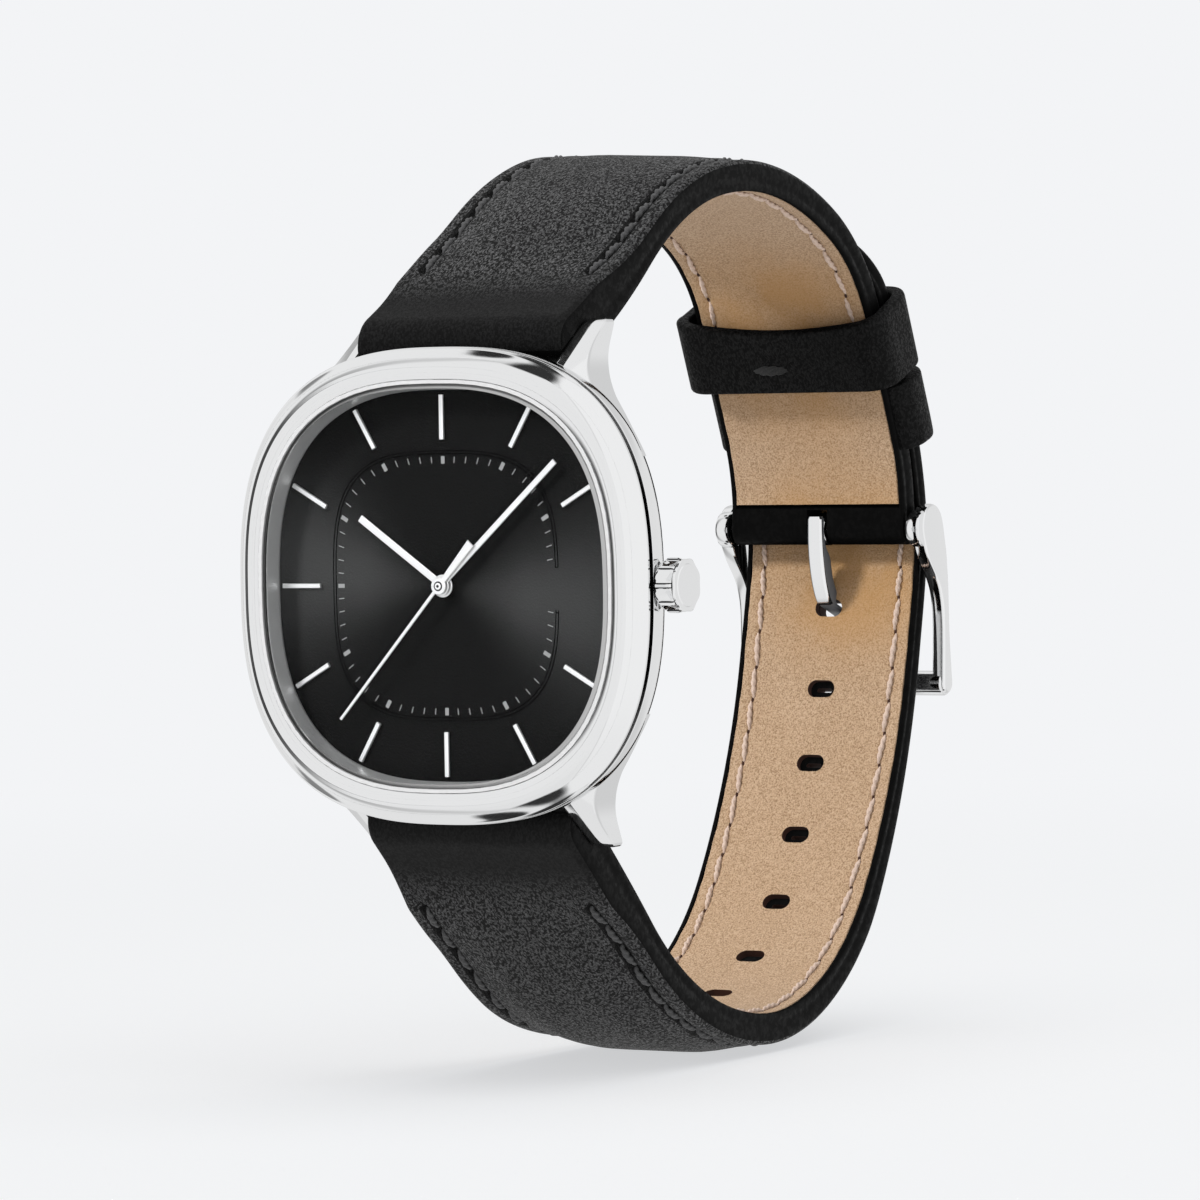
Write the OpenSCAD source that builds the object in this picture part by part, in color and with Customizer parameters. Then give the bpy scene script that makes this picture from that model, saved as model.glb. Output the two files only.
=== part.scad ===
// Wristwatch: a steel case with a cushion outline, a quartz movement with three hands,
// and a two-piece padded leather strap closed by a pin buckle.
// +X points from the dial's centre to the crown, +Z to 12 o'clock, and the dial faces -Y.
// The origin is the centre of the case back's outer face.

/* [Case] */
// Width and height of the cushion-shaped bezel
case_w = 39.8; // [39.6:0.1:40.6]
// Squareness of the cushion outline, where 2 is a circle
cushion_n = 2.6; // [2.5:0.05:2.7]
// Distance from the case back's outer face to the dial's front
dial_depth = 6; // [5.9:0.05:6.2]
// Height of the bezel's crown above the dial
bezel_rise = 2.3; // [2.25:0.05:2.6]
// Width of the bezel's ring, seen from the front
bezel_w = 2.7; // [2.5:0.05:2.9]
// Height of the mid-case's front edge behind the dial's front
rim_drop = 0.1; // [0:0.05:0.3]
// Height of the dark groove between the bezel and the mid-case
groove_h = 0.6; // [0.4:0.05:0.7]
// Depth of that groove
groove_d = 0.6; // [0.3:0.05:0.8]
// Width of the ledge that the dial rests on
ledge_w = 1.7; // [1.5:0.05:1.9]
// Thickness of the case back's outer plate
back_t = 1; // [0.8:0.05:1.1]
// Distance from the bezel's outline in to the case back's edge
back_inset = 2.6; // [2.4:0.05:2.9]

/* [Lugs] */
// Gap between the two lugs of a pair
lug_gap = 20.1; // [19.9:0.05:20.3]
// Width of a lug at its tip
lug_tip_w = 1.85; // [1.7:0.05:2.1]
// How far the lug tips reach past the bezel
lug_reach = 2.2; // [2:0.05:2.5]
// Distance from the lug tips to the spring bar's axis, along the case
bar_inset = 1.6; // [1.5:0.05:1.8]
// Distance from the case back's outer face forward to the spring bar's axis
bar_depth = 1.1; // [1:0.05:1.3]
// How far the lug tips reach behind the case back's outer face
lug_droop = 2.3; // [2:0.1:2.5]

/* [Dial side] */
// Thickness of the crystal
crystal_t = 0.9; // [0.8:0.05:0.95]
// Thickness of the crystal's gasket
gasket_t = 0.35; // [0.3:0.05:0.4]
// Width of the rehaut's foot on the dial
rehaut_w = 0.9; // [0.8:0.05:1.1]
// Thickness of the dial
dial_t = 0.4; // [0.3:0.05:0.45]
// Length of an hour marker
marker_len = 3.7; // [3:0.1:3.9]
// Width of an hour marker
marker_w = 0.38; // [0.3:0.02:0.5]
// Height of an hour marker above the dial
marker_h = 0.25; // [0.15:0.05:0.3]
// Space between the hour markers and the rehaut
marker_edge = 0.4; // [0.3:0.05:0.7]

/* [Hands] */
// Space between the hour hand's tip and the rehaut
hour_edge = 6.5; // [5.5:0.1:7]
// Space between the minute hand's tip and the rehaut
minute_edge = 1.1; // [0.8:0.1:2]
// Space between the seconds hand's tip and the rehaut
second_edge = 1.4; // [0.9:0.1:2]
// Length of the seconds hand's tail
tail_len = 4.8; // [4:0.1:6]
// Thickness of each hand
hand_t = 0.15; // [0.12:0.01:0.18]
// Space between one hand and the next
hand_gap = 0.17; // [0.16:0.01:0.18]

/* [Gears] */
// Module of the gears that drive the hour hand
gear_m = 0.11; // [0.105:0.001:0.112]
// Thickness of each gear
gear_t = 0.25; // [0.2:0.01:0.28]

/* [Crown] */
// Diameter of the crown
crown_d = 4.54; // [4.2:0.02:4.8]
// Length of the crown
crown_len = 2.15; // [2:0.05:2.6]
// Depth of the crown's axis in front of the case back's outer face
crown_depth = 4.2; // [4:0.05:4.3]
// Number of flutes round the crown
flutes = 8; // [6:1:10]
// Travel of the crown when it is pulled out to set the time
crown_pull = 0.9; // [0.7:0.05:1]
// Diameter of the stem
stem_d = 0.9; // [0.8:0.05:1]

/* [Strap] */
// Space between the strap and each lug
strap_side = 0.1; // [0.08:0.01:0.2]
// Width of the strap at the buckle
strap_end_w = 18; // [17.4:0.1:18.2]
// Thickness of the short piece at the lugs
short_pad_t = 4.5; // [4.2:0.1:4.6]
// Thickness of the short piece past its padding
short_t = 2.6; // [2.5:0.05:2.8]
// Thickness of the long piece at the lugs
long_pad_t = 4.1; // [3.8:0.1:4.3]
// Thickness of the long piece at its tip
long_t = 2.1; // [2:0.05:2.3]
// Thickness of the lining
lining_t = 0.9; // [0.8:0.05:1]
// Thickness of the top leather over the padding
leather_t = 1; // [0.9:0.05:1.1]
// Distance between the buckle holes
hole_pitch = 7.3; // [7:0.1:7.5]
// Number of buckle holes
holes = 7; // [5:1:7]
// Width of a buckle hole across the strap
hole_w = 2.75; // [2.5:0.05:3]
// Length of a buckle hole along the strap
hole_len = 1.6; // [1.55:0.05:1.8]

/* [Keepers] */
// Width of the free keeper along the strap
free_keeper_w = 7; // [6.4:0.1:7.2]
// Width of the fixed keeper along the strap
fixed_keeper_w = 6.4; // [6:0.1:6.5]
// Thickness of the keepers' leather
keeper_t = 1.2; // [1:0.05:1.3]
// Space between the keepers and the strap
keeper_gap = 0.4; // [0.32:0.01:0.5]

/* [Buckle] */
// Thickness of the buckle's arms, across the strap
arm_t = 1.3; // [1.1:0.05:1.6]
// Space between the strap and each arm
arm_side = 0.5; // [0.4:0.05:0.6]
// Width of the leaf-shaped plate at each side of the buckle's hinge
leaf_w = 4.5; // [4.2:0.1:4.8]
// Length of the tongue from the strap's outer side to its rest on the front bar
tongue_reach = 6.6; // [6.2:0.1:7]
// Diameter of the frame's front bar
front_bar_d = 2.3; // [2.1:0.1:2.4]
// Width of the tongue
tongue_w = 1.6; // [1.4:0.05:1.7]
// Thickness of the tongue
tongue_t = 0.8; // [0.7:0.05:0.85]
// Diameter of the buckle's hinge bar
buckle_bar_d = 1.2; // [1.1:0.05:1.3]

/* [Hidden] */
$fn = 48;

steel = "gainsboro";
black_leather = [0.09, 0.09, 0.09];
tan_lining = [0.78, 0.63, 0.48];
brass = [0.8, 0.66, 0.36];

// Clearances
fit = 0.02;             // parts that are pressed or seated together
run = 0.05;             // shafts that turn or slide in a bore
free = 0.3;             // soft parts beside moving parts

// Heights along Y of the case's faces
dial_y = -dial_depth;
bezel_top_y = dial_y - bezel_rise;
bezel_in_y = bezel_top_y + 0.15;
rim_y = dial_y + rim_drop;
bezel_seat_y = rim_y - groove_h;
back_y = -back_t;
dial_back_y = dial_y + dial_t;
crystal_front_y = bezel_in_y - 0.1;
crystal_back_y = crystal_front_y + crystal_t;

case_r = case_w / 2;
bore_r = case_r - bezel_w;
cavity_r = bore_r - ledge_w;
back_r = case_r - back_inset;
open_r = bore_r - rehaut_w;
crystal_r = bore_r - gasket_t;
dial_r = bore_r - 0.1;
rim_r = case_r - groove_d;
outline_steps = 72;

// Lugs
tip_z = case_r + lug_reach;
bar_z = tip_z - bar_inset;
bar_y = -bar_depth;
lug_in_x = lug_gap / 2;
lug_tip_x = lug_in_x + lug_tip_w;
bar_tube_r = 0.75;
plunger_r = 0.45;
plunger_travel = 1;
plunger_inside = 1.5;
lug_hole_depth = 1.05;
bar_tube_len = lug_gap - 1.7;
// The lug fronts lie on a cone with the case's outline, which widens by this much for each
// millimetre towards the wrist
lug_cone_rate = 1 / 1.5;
lug_cone_y = dial_y + 1.45;

// Hands, counted from the dial
hour_len = open_r - hour_edge;
minute_len = open_r - minute_edge;
second_len = open_r - second_edge;
hour_angle = 305.4;
minute_angle = 47.4;
second_angle = 221.4;
hour_y = dial_y - 0.3 - hand_t;
minute_y = hour_y - hand_gap - hand_t;
second_y = minute_y - hand_gap - hand_t;

// Gears: cannon pinion and minute wheel, then minute pinion and hour wheel
cannon_teeth = 10;
minute_teeth = 30;
pinion_teeth = 8;
hour_teeth = 32;
gear_axis = gear_m * (cannon_teeth + minute_teeth) / 2;
hour_gear_y = dial_back_y + 0.2;
cannon_gear_y = hour_gear_y + gear_t + 0.2;
gear_pocket_y = cannon_gear_y + gear_t + 0.15;
arbor_r = 0.13;
cannon_r = 0.36;
hour_tube_r = 0.64;
stub_r = 0.15;
second_wheel_r = 2.4;

// Movement
movement_r = cavity_r - 2.7;
plate_back_y = -3.5;
cover_back_y = -1.95;
cover_low_z = -0.266 * movement_r;
cover_high_z = 0.485 * movement_r;
coil_z = 0.61 * movement_r;
coil_half = 5.2;
coil_r = 0.75;
cell_r = 3.4;
cell_x = -0.28 * movement_r;
cell_z = -0.592 * movement_r;
cell_strap_t = 0.2;
cell_strap_w = 1.4;
board_t = 0.5;
battery_back_y = plate_back_y + 1.9;

// Crown and stem
crown_y = -crown_depth;
crown_r = crown_d / 2;
crown_x = case_r + 0.15;
crown_end_x = crown_x + crown_len;
tube_r = 1.1;
tube_bore_r = stem_d / 2 + 0.12;
tube_end_x = crown_x + 1.3;
crown_bore_x = tube_end_x + 0.2;
pinion_x = 8.8;
pinion_r = 1;
pinion_len = 1.6;
stem_in_x = pinion_x - crown_pull - 0.7;

// Strap: each row is the length of an arc and the angle by which it turns
strap_w = lug_gap - 2 * strap_side;
short_start = [bar_y, bar_z, 27.5];
short_arcs = [[14.5, 8.5], [39.5, -65.5], [10.5, -37], [11.5, 0], [9.2, -27.5]];
long_start = [bar_y, -bar_z, -42.5];
long_arcs = [[14.5, -2.5], [25.5, 42], [25, 59.5], [23, 21]];
short_len = total(short_arcs, len(short_arcs));
keeper_run_s = total(short_arcs, 3);
strap_gap = 0.1;
lining_start = 5;
lining_stop = 2;
padding_end = 30;
filler_end = 60;
filler_w = 0.93;
fade = 10;
taper_len = 60;
short_edge_t = 2.4;
long_edge_t = 2.1;
join_s = short_len - 6.5;
tip_s = 56;
tip_round = 8;
fold_r = 1.45;
fold_slot_w = tongue_w + 0.5;
ring_steps = 8;

// Buckle
hinge = at(short_start, short_arcs, short_len);
hinge_y = hinge[0];
hinge_z = hinge[1];
arm_in_x = strap_end_w / 2 + arm_side;
arm_out_x = arm_in_x + arm_t;
boss_r = 1.7;
buckle_bar_r = buckle_bar_d / 2;
ring_r = 1.5;
tongue_slant = 8;

// Keepers
free_keeper_s = keeper_run_s - 0.8;
keeper_space = 0.6;
fixed_keeper_s = free_keeper_s + free_keeper_w + keeper_space;
keeper_seam = lining_t - short_t / 2 + run;
skived_t = 0.5;

// Length of the first n arcs
function total(arcs, n) = n == 0 ? 0 : arcs[n - 1][0] + total(arcs, n - 1);

// End of an arc that starts at p = [y, z, heading]
function arc(p, length, turn) =
    let (chord = abs(turn) < 0.001 ? length : length * sin(turn / 2) / (turn * PI / 360),
        a = p[2] + turn / 2)
    [p[0] + chord * cos(a), p[1] + chord * sin(a), p[2] + turn];

// Point and heading at a length s along a chain of arcs
function at(p, arcs, s, i = 0) =
    i == len(arcs) - 1 || s <= arcs[i][0]
    ? arc(p, s, arcs[i][1] * s / arcs[i][0])
    : at(arc(p, arcs[i][0], arcs[i][1]), arcs, s - arcs[i][0], i + 1);

// Point moved by d to the left of its heading
function left(p, d) = [p[0] - d * sin(p[2]), p[1] + d * cos(p[2]), p[2]];

// Soft step from 0 to 1 as s goes from a to b
function ease(s, a, b) = let (u = min(1, max(0, (s - a) / (b - a)))) u * u * (3 - 2 * u);

// Point and heading at u on a cubic curve from p to q, whose handles have lengths k and j
function curve(p, q, k, j, u) =
    let (a = [p[0], p[1]], b = a + k * [cos(p[2]), sin(p[2])],
        d = [q[0], q[1]], c = d - j * [cos(q[2]), sin(q[2])],
        v = 1 - u,
        at_u = v * v * v * a + 3 * v * v * u * b + 3 * v * u * u * c + u * u * u * d,
        dir = v * v * (b - a) + 2 * v * u * (c - b) + u * u * (d - c))
    [at_u[0], at_u[1], atan2(dir[1], dir[0])];

function short_at(s) = at(short_start, short_arcs, s);
function short_t_at(s) = short_pad_t - (short_pad_t - short_t) * ease(s, 3, padding_end);
function long_t_at(s) = long_pad_t - (long_pad_t - long_t) * ease(s, 3, long_arcs_len);
function half_w_at(s) = (strap_w - (strap_w - strap_end_w) * ease(s, 0, taper_len)) / 2;

// The long piece follows its own arcs, then a curve over the buckle's hinge, and then the
// short piece's outer side up to its tip
long_arcs_len = total(long_arcs, len(long_arcs));
over = short_t / 2 + strap_gap + long_t / 2;
long_free = at(long_start, long_arcs, long_arcs_len);
long_join = let (p = left(short_at(join_s), over)) [p[0], p[1], p[2] + 180];
join_handle = 0.42 * norm([long_join[0] - long_free[0], long_join[1] - long_free[1]]);
join_len = 1.03 * norm([long_join[0] - long_free[0], long_join[1] - long_free[1]]);
lap_len = join_s - tip_s;
long_len = long_arcs_len + join_len + lap_len;

function long_at(s) =
    s <= long_arcs_len ? at(long_start, long_arcs, s)
    : s <= long_arcs_len + join_len
    ? curve(long_free, long_join, join_handle, join_handle, (s - long_arcs_len) / join_len)
    : let (p = left(short_at(join_s - (s - long_arcs_len - join_len)), over))
    [p[0], p[1], p[2] + 180];

// Half width of the long piece, which ends in a rounded tip
function long_half_w(s) =
    let (u = max(0, (s - long_len + tip_round) / (tip_round + 0.4)))
    half_w_at(s) * sqrt(1 - u * u);

hole_1_s = long_arcs_len + 4;
tongue_hole = long_at(hole_1_s);
// Middle of the tongue from its ring to its tip, and the front bar that it rests on
tongue_top = [hinge_y - 1.55, hinge_z + 0.95, -90];
tongue_bend = [tongue_top[0], hinge_z - 0.75, -90];
tongue_in = let (p = tongue_hole, a = p[2] - 90 - tongue_slant, d = long_t / 2 + 0.1)
    [p[0] - d * cos(a), p[1] - d * sin(a), a];
tongue_out = arc(tongue_in, long_t + 0.4, 0);
tongue_turned = arc(tongue_out, 1.6, -54);
tongue_rest = arc(tongue_turned, tongue_reach - 1.6, 0);
tongue_tip = arc(tongue_rest, 1.4, -12);
front_bar_at = left(tongue_rest, -(tongue_t / 2 + fit + front_bar_d / 2));

// Cushion outline: a point at angle a on the closed curve of half width r
function cushion(r, a, n = cushion_n) = let (c = cos(a), s = sin(a))
    r * [sign(c) * pow(abs(c), 2 / n), sign(s) * pow(abs(s), 2 / n)];
function cushion_points(r, n = cushion_n, steps = outline_steps) =
    [for (i = [0 : steps - 1]) cushion(r, 360 * i / steps, n)];

// Drawing helpers

module along_y(y0, y1) translate([0, y1, 0]) rotate([90, 0, 0]) linear_extrude(y1 - y0) children();

module along_x(x0, x1) translate([x0, 0, 0]) rotate([90, 0, 90]) linear_extrude(x1 - x0) children();

module rod_y(r, y0, y1, x = 0, z = 0)
    translate([x, y1, z]) rotate([90, 0, 0]) cylinder(r = r, h = y1 - y0);

module rod_x(r, x0, x1, y = 0, z = 0)
    translate([x0, y, z]) rotate([0, 90, 0]) cylinder(r = r, h = x1 - x0);

module cushion_plate(r, y0, y1, n = cushion_n) along_y(y0, y1) polygon(cushion_points(r, n));

// Sum of the crosswise area of a ring, as a vector along its axis
function area_of(ring) = let (n = len(ring), c = ring[0])
    [for (j = [1 : n - 2]) 1] * [for (j = [1 : n - 2]) cross(ring[j] - c, ring[j + 1] - c)];

// Skin over rings of equally many points: closed at both ends, or joined end to end
module skin(rings, loop = false) {
    n = len(rings);
    m = len(rings[0]);
    forward = area_of(rings[0]) * (rings[1][0] - rings[0][0] + rings[1][m / 2] - rings[0][m / 2]) > 0;
    bands = loop ? n : n - 1;
    last = (n - 1) * m;
    sides = [for (i = [0 : bands - 1]) for (j = [0 : m - 1])
        let (a = i * m, b = (i + 1) % n * m, k = (j + 1) % m)
        each [[a + j, b + j, b + k], [a + j, b + k, a + k]]];
    caps = loop ? [] : [for (j = [0 : m / 2 - 2]) let (k = m - 1 - j)
        each [[j, j + 1, k - 1], [j, k - 1, k], [last + k - 1, last + j + 1, last + j],
            [last + k, last + k - 1, last + j]]];
    faces = [for (f = concat(sides, caps)) if (f[0] != f[1] && f[1] != f[2] && f[0] != f[2])
        forward ? f : [f[2], f[1], f[0]]];
    polyhedron([for (r = rings) each r], faces, convexity = 6);
}

// Ring with a cushion outline, turned from a closed profile of [half width, y] points
module cushion_ring(profile, steps = outline_steps)
    skin([for (i = [0 : steps - 1])
        [for (p = profile) let (q = cushion(p[0], 360 * i / steps)) [q[0], p[1], q[1]]]],
        loop = true);

// Spur gear with straight-sided teeth
module gear(teeth, y0, bore_r, turn = 0) {
    pitch_r = gear_m * teeth / 2;
    root_r = pitch_r - 1.2 * gear_m;
    top_r = pitch_r + 0.85 * gear_m;
    step = 360 / teeth;
    outline = [for (i = [0 : teeth - 1]) for (k = [[-0.3, root_r], [-0.11, top_r], [0.11, top_r],
        [0.3, root_r]]) let (a = turn + step * (i + k[0])) k[1] * [cos(a), sin(a)]];
    difference() {
        along_y(y0, y0 + gear_t) polygon(outline);
        rod_y(bore_r, y0 - 1, y0 + gear_t + 1);
    }
}

// Cross-section across the strap from one height to another above its wrist side
function strap_ring(p, side, t, w, low, high, steps) =
    let (base = left(p, -side * t / 2), n = side * [-sin(p[2]), cos(p[2])],
        place = function (x, h) [x, base[0] + h * n[0], base[1] + h * n[1]])
    concat([for (i = [0 : steps]) let (u = 2 * i / steps - 1) place(w * u, high(u))],
        [for (i = [0 : steps]) let (u = 1 - 2 * i / steps) place(w * u, low(u))]);

// Height of the padding under the leather, and of the leather's outer side
function padding(t, s) = max(0, t - lining_t - leather_t)
    * (1 - ease(s, filler_end - fade, filler_end + fade / 2));
function crowned(edge, mid, u) = edge + (mid - edge) * (1 - pow(abs(u), 3));

// Case

module lug_outline() {
    start = [case_r * 0.915, case_r * 0.53];
    slope = [-0.62, 1];
    end = [lug_tip_x, tip_z - 0.8];
    side = [for (i = [0 : 12])
        let (u = i / 12, v = 1 - u, b = start + 6.2 * slope / norm(slope), c = end - [0, 4.6])
        v * v * v * start + 3 * v * v * u * b + 3 * v * u * u * c + u * u * u * end];
    polygon(concat([[lug_in_x, case_r * 0.53]], side,
        [[lug_tip_x - 0.25, tip_z - 0.25], [lug_tip_x - 0.8, tip_z], [lug_in_x, tip_z]]));
}

module lug() {
    // Rear edge of the lug's side, as [z, y] from the case's flank to the tip
    rear = [[case_r * 0.53, lug_cone_y + 0.75], [case_r * 0.64, lug_cone_y + 1.35],
        [case_r * 0.78, lug_cone_y + 2.65], [case_r * 0.9, lug_cone_y + 4.5],
        [tip_z - 1.4, lug_droop - 0.5], [tip_z - 0.3, lug_droop], [tip_z + 1, lug_droop]];
    intersection() {
        along_y(rim_y, lug_droop) lug_outline();
        along_x(lug_in_x - 1, case_r)
            polygon(concat([for (p = rear) [p[1], p[0]]], [[rim_y, tip_z + 1], [rim_y, case_r * 0.53]]));
        skin([for (y = [rim_y - 1, lug_droop + 1]) [for (p = cushion_points(
            case_r + (y - lug_cone_y) * lug_cone_rate)) [p[0], y, p[1]]]]);
    }
}

module mid_case() {
    wall = [[rim_r, bezel_seat_y], [rim_r, rim_y], [case_r, rim_y], [case_r, rim_y + 1.2],
        [case_r - 0.35, rim_y + 2.4], [case_r - 1.1, rim_y + 3.7], [back_r + 0.4, back_y],
        [cavity_r + 0.8, back_y], [cavity_r + 0.8, back_y - 0.3], [cavity_r, back_y - 0.3],
        [cavity_r, dial_back_y + fit], [bore_r, dial_back_y + fit], [bore_r, bezel_seat_y]];
    color(steel) difference() {
        union() {
            cushion_ring(wall);
            for (x = [0, 1]) for (z = [0, 1]) mirror([x, 0, 0]) mirror([0, 0, z])
                difference() {
                    lug();
                    cushion_plate(bore_r + 0.5, rim_y - 1, lug_droop + 1);
                }
        }
        // Room for the strap's ends between the lugs
        for (z = [-1, 1]) rod_x(short_pad_t / 2 + free + 0.1, -lug_in_x, lug_in_x, bar_y, z * bar_z);
        // Spring bar holes, blind in each lug
        for (z = [-1, 1]) rod_x(plunger_r + run, -lug_in_x - lug_hole_depth, lug_in_x + lug_hole_depth,
            bar_y, z * bar_z);
        rod_x(tube_r + fit, cavity_r - 3, case_r + 1, crown_y);
    }
}

module bezel() {
    dome = [[bore_r, bezel_in_y], [bore_r + 0.13 * bezel_w, bezel_top_y + 0.03],
        [bore_r + 0.33 * bezel_w, bezel_top_y], [bore_r + 0.55 * bezel_w, bezel_top_y + 0.25],
        [bore_r + 0.76 * bezel_w, bezel_top_y + 0.8],
        [case_r - 0.2, bezel_seat_y - 0.45], [case_r - 0.12, bezel_seat_y - 0.4],
        [case_r, bezel_seat_y - 0.3], [case_r, bezel_seat_y], [bore_r, bezel_seat_y]];
    color(steel) cushion_ring(dome);
}

module crystal() {
    bevel = 0.12;
    color([0.85, 0.92, 0.95, 0.35]) skin([for (p = [[crystal_r - bevel, crystal_front_y],
        [crystal_r, crystal_front_y + bevel], [crystal_r, crystal_back_y]])
        [for (q = cushion_points(p[0])) [q[0], p[1], q[1]]]]);
}

module crystal_gasket()
    color("dimgray") difference() {
        cushion_plate(bore_r - fit, crystal_front_y + 0.1, crystal_back_y);
        cushion_plate(crystal_r + fit, crystal_front_y - 1, crystal_back_y + 1);
    }

module rehaut() {
    color("silver") cushion_ring([[bore_r - fit, crystal_back_y + fit], [bore_r - fit, dial_y],
        [open_r, dial_y], [open_r, dial_y - 0.15], [open_r + 0.5, crystal_back_y + fit]]);
}

module dial()
    color([0.1, 0.1, 0.1]) difference() {
        cushion_plate(dial_r, dial_y, dial_back_y);
        rod_y(hour_tube_r + 0.15, dial_y - 1, dial_back_y + 1);
    }

module hour_markers() {
    ring_n = 3;
    color("white") for (hour = [1 : 12]) if (hour != 3) {
        a = 90 - 30 * hour;
        reach = (open_r - marker_edge - marker_len)
            / pow(pow(abs(cos(a)), ring_n) + pow(abs(sin(a)), ring_n), 1 / ring_n);
        rotate([0, -a, 0]) translate([reach, dial_y - marker_h, -marker_w / 2])
            cube([marker_len, marker_h, marker_w]);
    }
}

module case_back()
    color(steel) difference() {
        union() {
            skin([for (s = [[back_r, back_y], [back_r, back_y + 0.35], [back_r - 0.55, 0]])
                [for (p = cushion_points(s[0])) [p[0], s[1], p[1]]]]);
            cushion_plate(cavity_r - 0.05, back_y - 0.5, back_y);
        }
        cushion_plate(cavity_r - 0.9, back_y - 1, back_y - fit);
        translate([-2, back_y - 0.1, -back_r - 1]) cube([4, 0.4, 1.8]);
    }

module back_gasket()
    color("black") difference() {
        cushion_plate(cavity_r + 0.8 - fit, back_y - 0.3 + fit, back_y);
        cushion_plate(cavity_r - 0.05 + fit, back_y - 1, back_y + 1);
    }

// Movement

module movement_ring()
    color("whitesmoke") difference() {
        cushion_plate(cavity_r - run, dial_back_y + 0.02, back_y - 0.5 - fit);
        rod_y(movement_r + run, dial_back_y - 1, 0);
        rod_x(tube_r + run, movement_r - 3, cavity_r + 1, crown_y);
    }

module main_plate()
    color(brass) {
        difference() {
            rod_y(movement_r, dial_back_y + fit, plate_back_y);
            // Pocket for the gears under the dial
            rod_y(gear_axis + gear_m * minute_teeth / 2 + 0.4, dial_back_y - 1, gear_pocket_y);
            rod_y(arbor_r + run, dial_back_y, plate_back_y + 1);
            // Stem bore and the recess of the sliding pinion
            rod_x(stem_d / 2 + run, stem_in_x - 0.4, movement_r + 1, crown_y);
            pinion_recess();
        }
        // Stub that the minute wheel turns on
        rod_y(stub_r, hour_gear_y - 0.05, gear_pocket_y + 0.1, 0, -gear_axis);
    }

module pinion_recess() rod_x(pinion_r + 0.1, pinion_x - run, pinion_x + pinion_len + run, crown_y);

module train_cover()
    color(brass) difference() {
        intersection() {
            rod_y(movement_r - 0.4, plate_back_y, cover_back_y);
            translate([-movement_r, plate_back_y - 1, cover_low_z])
                cube([movement_r * 2, 4, cover_high_z - cover_low_z]);
        }
        rod_y(second_wheel_r + 0.5, plate_back_y - 1, plate_back_y + 1);
        pinion_recess();
    }

module battery()
    color("silver") {
        rod_y(cell_r, plate_back_y, battery_back_y - 0.2, cell_x, cell_z);
        rod_y(cell_r - 0.8, battery_back_y - 0.2, battery_back_y, cell_x, cell_z);
    }

// Contact strap over the cell, on two feet
module battery_strap() {
    top = battery_back_y + fit;
    half = cell_r + 1.4;
    color(steel) for (b = [[-half, half, top], [-half, -half + 0.4, plate_back_y],
        [half - 0.4, half, plate_back_y]])
        translate([cell_x + b[0], b[2], cell_z - cell_strap_w / 2])
            cube([b[1] - b[0], top + cell_strap_t - b[2], cell_strap_w]);
}

module coil() {
    block = 1.2;
    color([0.72, 0.35, 0.2]) {
        rod_x(coil_r, -coil_half + block, coil_half - block, plate_back_y + coil_r + run, coil_z);
        for (x = [-coil_half, coil_half - block]) translate([x, plate_back_y, coil_z - coil_r])
            cube([block, block, 2 * coil_r]);
    }
}

module circuit_board()
    color("darkgreen") translate([0.14 * movement_r, plate_back_y, -0.75 * movement_r])
        cube([0.44 * movement_r, board_t, 0.45 * movement_r]);

module cannon_pinion()
    color(brass) union() {
        difference() {
            rod_y(cannon_r, minute_y + hand_t + 0.02, cannon_gear_y + gear_t);
            rod_y(arbor_r + run, minute_y - 1, cannon_gear_y + 1);
        }
        gear(cannon_teeth, cannon_gear_y, cannon_r - 0.02, 0);
    }

module minute_wheel()
    color(brass) translate([0, 0, -gear_axis]) difference() {
        union() {
            gear(minute_teeth, cannon_gear_y, stub_r, 90);
            gear(pinion_teeth, hour_gear_y, stub_r, 90);
            rod_y(0.28, hour_gear_y, cannon_gear_y + gear_t);
        }
        rod_y(stub_r + run, hour_gear_y - 1, cannon_gear_y + 1);
    }

module hour_wheel()
    color(brass) {
        difference() {
            rod_y(hour_tube_r, hour_y + hand_t + 0.02, hour_gear_y + gear_t);
            rod_y(cannon_r + run, hour_y - 1, hour_gear_y + 1);
        }
        gear(hour_teeth, hour_gear_y, hour_tube_r - 0.02, 270 + 180 / hour_teeth);
    }

module second_wheel()
    color(brass) {
        rod_y(arbor_r, second_y + hand_t + 0.02, plate_back_y + 0.8);
        rod_y(second_wheel_r, plate_back_y + 0.15, plate_back_y + 0.35);
    }

// Hands

// Bar that points along +Z from the hand axis
module hand_bar(w, from, to, y) translate([-w / 2, y, from]) cube([w, hand_t, to - from]);

module hour_hand()
    color("white") rotate([0, hour_angle, 0]) difference() {
        union() {
            hand_bar(0.6, 0, hour_len, hour_y);
            rod_y(0.95, hour_y, hour_y + hand_t);
        }
        rod_y(cannon_r + run, hour_y - 1, hour_y + 1);
    }

module minute_hand()
    color("white") rotate([0, minute_angle, 0]) difference() {
        union() {
            hand_bar(0.5, 0, minute_len, minute_y);
            rod_y(0.8, minute_y, minute_y + hand_t);
        }
        rod_y(arbor_r + run, minute_y - 1, minute_y + 1);
    }

module second_hand()
    color("white") rotate([0, second_angle, 0]) {
        hand_bar(0.26, 0, second_len, second_y);
        hand_bar(0.7, -tail_len, 0, second_y);
        rod_y(0.7, second_y, second_y + hand_t);
        rod_y(0.3, second_y - 0.1, second_y);
    }

// Crown

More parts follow.
